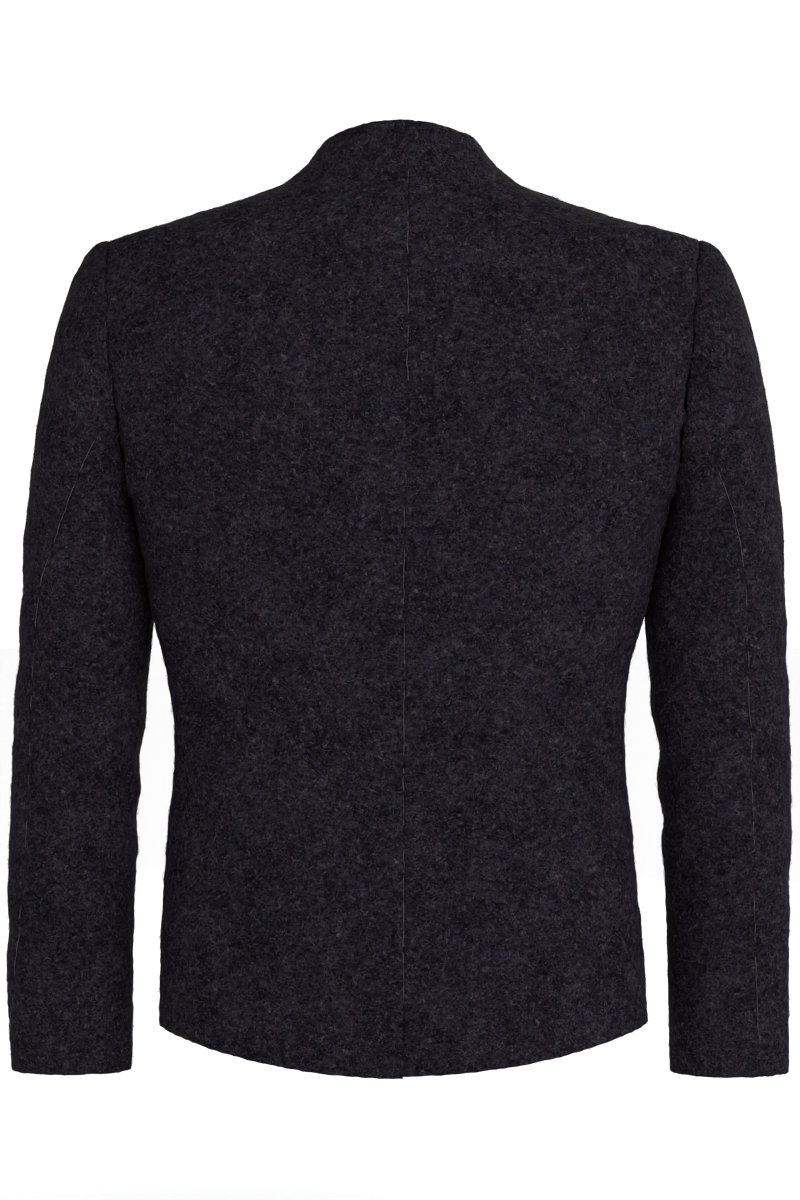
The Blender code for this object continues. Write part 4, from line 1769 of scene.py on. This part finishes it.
@dataclass
class JacketSide:
    """The back, the front and the two-piece sleeve of one side of the jacket.

    Its fades are the numbers of rows over which the armhole's sway and valley come and go.
    """

    side: Side
    felt: FeltNoise
    fuzz: Fuzz
    finishes: Wardrobe
    pieces: dict[str, ClothPiece] = field(default_factory=dict)
    sleeve_radius: float = 55.0
    body_fade: int = 6
    sleeve_fade: tuple[int, int] = (8, 14)
    piece_seed: int = 5
    seed_step: int = 10
    mat_seed: int = 70
    mat: Fuzz = Fuzz(per_square_metre=190000.0, shortest=4.0, longest=11.0, pale_share=0.36)
    columns: dict[str, Array] = field(default_factory=dict)
    form: JacketForm = field(init=False)

    def __post_init__(self) -> None:
        """Makes the form that the side's pieces are lofted on."""
        self.form = JacketForm(self.side)

    @property
    def armhole_rows(self) -> tuple[int, int]:
        """The rows of the body at the underarm and at the tip of the shoulder."""
        return self.form.row_of(UNDERARM), self.form.row_of(SHOULDER_TIP)

    def build(self) -> None:
        """Lofts the side and makes its four pieces of cloth."""
        back, front = self.form.body(Face.BACK), self.form.body(Face.FRONT)
        back_normal, front_normal = self.form.body_normals(back, front)
        sleeve, turns, back_mark, front_mark = self.form.sleeve(back, front)
        if self.side is Side.LEFT:
            front = self.form.lift_lap(front, front_normal)
        self.add_body(Face.BACK, back, back_normal)
        self.add_body(Face.FRONT, front, front_normal)
        normal = grid_normals(sleeve, closed=True)
        around = sleeve.shape[1]
        self.add_sleeve("upper_sleeve", sleeve, normal, turns, np.arange(back_mark, front_mark + 1))
        under = np.arange(front_mark, around + back_mark + 1) % around
        self.add_sleeve("under_sleeve", sleeve, normal, turns % 360, under)
        for number, piece in enumerate(self.pieces.values()):
            seed = self.piece_seed + self.seed_step * number + self.side.value
            piece.make(self.felt, self.fuzz, self.finishes, seed)
        self.mat_armhole()

    def add_body(self, face: Face, grid: Array, normal: Array) -> None:
        """Adds the back or the front.

        Args:
            face: which of the two.
            grid: its outer points.
            normal: its normals.
        """
        run = distance_from(grid, Edge.FIRST_COLUMN)
        is_back = face is Face.BACK
        row = np.arange(len(grid))[:, None]
        low, tip = self.armhole_rows
        armhole_share = soft_step(row, low - self.body_fade, low)
        armhole_share *= soft_step(-row, -tip - self.body_fade, -tip)
        self.pieces[face.value] = ClothPiece(
            node=f"{face.value}_{self.side.word}",
            side=self.side,
            grid=grid,
            normal=normal,
            across=run if is_back else run - FRONT_OVERLAP,
            creases=(BACK_CREASES if is_back else FRONT_CREASES)[self.side],
            seams=(Edge.FIRST_COLUMN, Edge.LAST_COLUMN) if is_back else (Edge.LAST_COLUMN,),
            raw_edges=(Edge.LOWEST_ROW, Edge.HIGHEST_ROW) + (() if is_back else (Edge.FIRST_COLUMN,)),
            armhole=Edge.LAST_COLUMN,
            armhole_share=armhole_share,
            hangs_from=() if is_back else (f"back_{self.side.word}",),
        )

    def add_sleeve(self, name: str, sleeve: Array, normal: Array, turns: Array, columns: Array) -> None:
        """Adds one piece of the sleeve.

        Args:
            name: upper_sleeve or under_sleeve.
            sleeve: the whole sleeve's outer points.
            normal: its normals.
            turns: each point's angle round the arm, in degrees.
            columns: the columns that the piece takes.
        """
        creases = (UPPER_SLEEVE_CREASES if name == "upper_sleeve" else UNDER_SLEEVE_CREASES)[self.side]
        self.columns[name] = columns
        self.pieces[name] = ClothPiece(
            node=f"{name}_{self.side.word}",
            side=self.side,
            grid=sleeve[:, columns],
            normal=normal[:, columns],
            across=np.radians(turns[:, columns]) * self.sleeve_radius,
            creases=creases,
            seams=(Edge.FIRST_COLUMN, Edge.LAST_COLUMN),
            raw_edges=(Edge.HIGHEST_ROW,),
            armhole=Edge.LOWEST_ROW,
            armhole_share=1 - soft_step(np.arange(len(sleeve))[:, None], *self.sleeve_fade),
            hangs_from=(f"back_{self.side.word}", f"front_{self.side.word}"),
        )

    def mat_armhole(self) -> None:
        """Lays short fibres across the armhole, where the nap of the body and of the sleeve felt together."""
        low, tip = self.armhole_rows
        strips = []
        for part in ("outer", "facing"):
            back, front = (getattr(self.pieces[name], part) for name in ("back", "front"))
            body = np.concatenate([back[low:tip, -2], front[tip:low:-1, -2]])
            sleeve = np.empty_like(body)
            for name, columns in self.columns.items():
                sleeve[columns] = getattr(self.pieces[name], part)[1]
            strips.append(np.stack([body, sleeve], axis=1))
        seed = self.mat_seed + self.side.value
        made = self.mat.grow(f"armhole_fuzz_{self.side.word}", *strips, self.finishes, seed)

    def sew(self) -> None:
        """Sews the side seam with the shoulder seam, and the two seams of the sleeve."""
        back, upper = self.pieces["back"], self.pieces["upper_sleeve"]
        low, tip = self.armhole_rows
        thread = SeamThread()
        # Each thread runs over these rows, and starts and ends a few rows short of the seam's own ends.
        seams = (
            ("side_seam", back, slice(4, low - 2), -1),
            ("shoulder_seam", back, slice(tip + 2, back.outer.shape[0] - 3), -1),
            ("sleeve_back_seam", upper, slice(11, upper.outer.shape[0] - 8), 0),
            ("sleeve_front_seam", upper, slice(6, upper.outer.shape[0] - 8), -1),
        )
        for name, piece, rows, column in seams:
            line, facing = piece.outer[rows, column], piece.facing[rows, column]
            named = f"{name}_{self.side.word}"
            thread.sew(named, line, facing, 1, self.felt, self.finishes)
            LOG.info("%s: sewn", named)


@dataclass(frozen=True)
class Softbox:
    """A square light that faces the jacket. Its place and its side are in metres and its power in watts."""

    name: str
    place: Point
    size: float
    power: float


@dataclass
class Studio:
    """A pale floor, soft white light and the camera, level with the middle of the jacket's back."""

    camera_at: Point = (0.765, 3020.0, -322.0)
    lens: float = 117.65
    sensor: float = 36.0
    sight: float = 50.0
    floor_height: float = -850.0
    floor_size: float = 80.0
    floor_squares: int = 8
    softboxes: tuple[Softbox, ...] = (
        Softbox("key_softbox", (-1.9, 2.9, 0.9), 2.0, 60.0),
        Softbox("front_softbox", (-1.2, -3.2, 1.2), 2.0, 45.0),
    )
    sky: float = 1.22
    flag: float = 0.1
    flag_way: Point = (1.0, 0.12, 1.43)
    flag_cosines: tuple[float, float] = (0.73, 0.88)

    def build(self) -> None:
        """Makes the floor, the lights and the camera."""
        self.add_floor()
        self.add_world()
        for softbox in self.softboxes:
            self.add_light(softbox)
        self.add_camera()
        scene = bpy.context.scene
        scene.view_settings.view_transform = "Standard"
        scene.view_settings.look = "None"
        LOG.info("studio: floor, lights and camera")

    def add_floor(self) -> None:
        """Adds the pale floor, far enough below the hem that it only catches a soft shadow."""
        bpy.ops.mesh.primitive_grid_add(
            x_subdivisions=self.floor_squares,
            y_subdivisions=self.floor_squares,
            size=self.floor_size,
            location=(0, 0, self.floor_height * MM),
        )
        floor = bpy.context.object
        floor.name = "paper_floor"
        floor.data.materials.append(PaperFinish().build())

    def add_world(self) -> None:
        """Adds a white surround, dark high on the wearer's left, where a black flag keeps light off."""
        world = bpy.data.worlds.new("white_surround")
        world.use_nodes = True
        tree = world.node_tree
        way = add_node(tree, "ShaderNodeTexCoord").outputs["Generated"]
        facing = add_node(
            tree,
            "ShaderNodeVectorMath",
            {0: way, 1: Vector(self.flag_way).normalized()},
            operation="DOT_PRODUCT",
        ).outputs["Value"]
        strength = add_node(
            tree,
            "ShaderNodeMapRange",
            {
                "Value": facing,
                "From Min": self.flag_cosines[0],
                "From Max": self.flag_cosines[1],
                "To Min": self.sky,
                "To Max": self.sky * self.flag,
            },
            interpolation_type="SMOOTHSTEP",
        ).outputs["Result"]
        background = tree.nodes["Background"]
        background.inputs["Color"].default_value = (1, 1, 1, 1)
        tree.links.new(strength, background.inputs["Strength"])
        bpy.context.scene.world = world

    def add_light(self, softbox: Softbox) -> None:
        """Adds a softbox that faces the jacket.

        Args:
            softbox: the light.
        """
        data = bpy.data.lights.new(softbox.name, "AREA")
        data.size = softbox.size
        data.energy = softbox.power
        light = bpy.data.objects.new(softbox.name, data)
        light.location = softbox.place
        aim = Vector((0, 0, self.camera_at[2] * MM)) - Vector(softbox.place)
        light.rotation_euler = aim.to_track_quat("-Z", "Y").to_euler()
        bpy.context.scene.collection.objects.link(light)

    def add_camera(self) -> None:
        """Adds the camera, behind the jacket and looking straight at its back."""
        data = bpy.data.cameras.new("camera")
        data.lens = self.lens
        data.sensor_width = self.sensor
        data.clip_end = self.sight
        camera = bpy.data.objects.new("camera", data)
        camera.location = Vector(self.camera_at) * MM
        camera.rotation_euler = (math.pi / 2, 0, math.pi)
        bpy.context.scene.collection.objects.link(camera)
        bpy.context.scene.camera = camera


def sew_back(right: JacketSide, finishes: Wardrobe) -> None:
    """Sews the centre-back seam, from just above the nape down to about 50 mm above the hem.

    Args:
        right: the right side of the jacket, whose edge the stitches follow.
        finishes: the finishes in use.
    """
    piece = right.pieces["back"]
    heights = piece.outer[:, 0, 2]
    sewn = (heights > CENTRE_SEAM[0]) & (heights < CENTRE_SEAM[1])
    line, facing = piece.outer[sewn, 0], piece.facing[sewn, 0]
    SeamThread().sew("centre_back_seam", line, facing, -1, right.felt, finishes)
    LOG.info("centre_back_seam: sewn")


def main() -> None:
    """Builds the jacket's looks and the studio."""
    logging.basicConfig(level=logging.INFO, format="%(message)s")
    finishes = Wardrobe()
    felt, fuzz = FeltNoise(seed=11), Fuzz()
    sides = [JacketSide(side, felt, fuzz, finishes) for side in Side]
    for one in sides:
        one.build()
        one.sew()
    sew_back(sides[1], finishes)
    ButtonRow().dress(sides[0].pieces["front"], finishes)
    Studio().build()


if __name__ == "__main__":
    main()
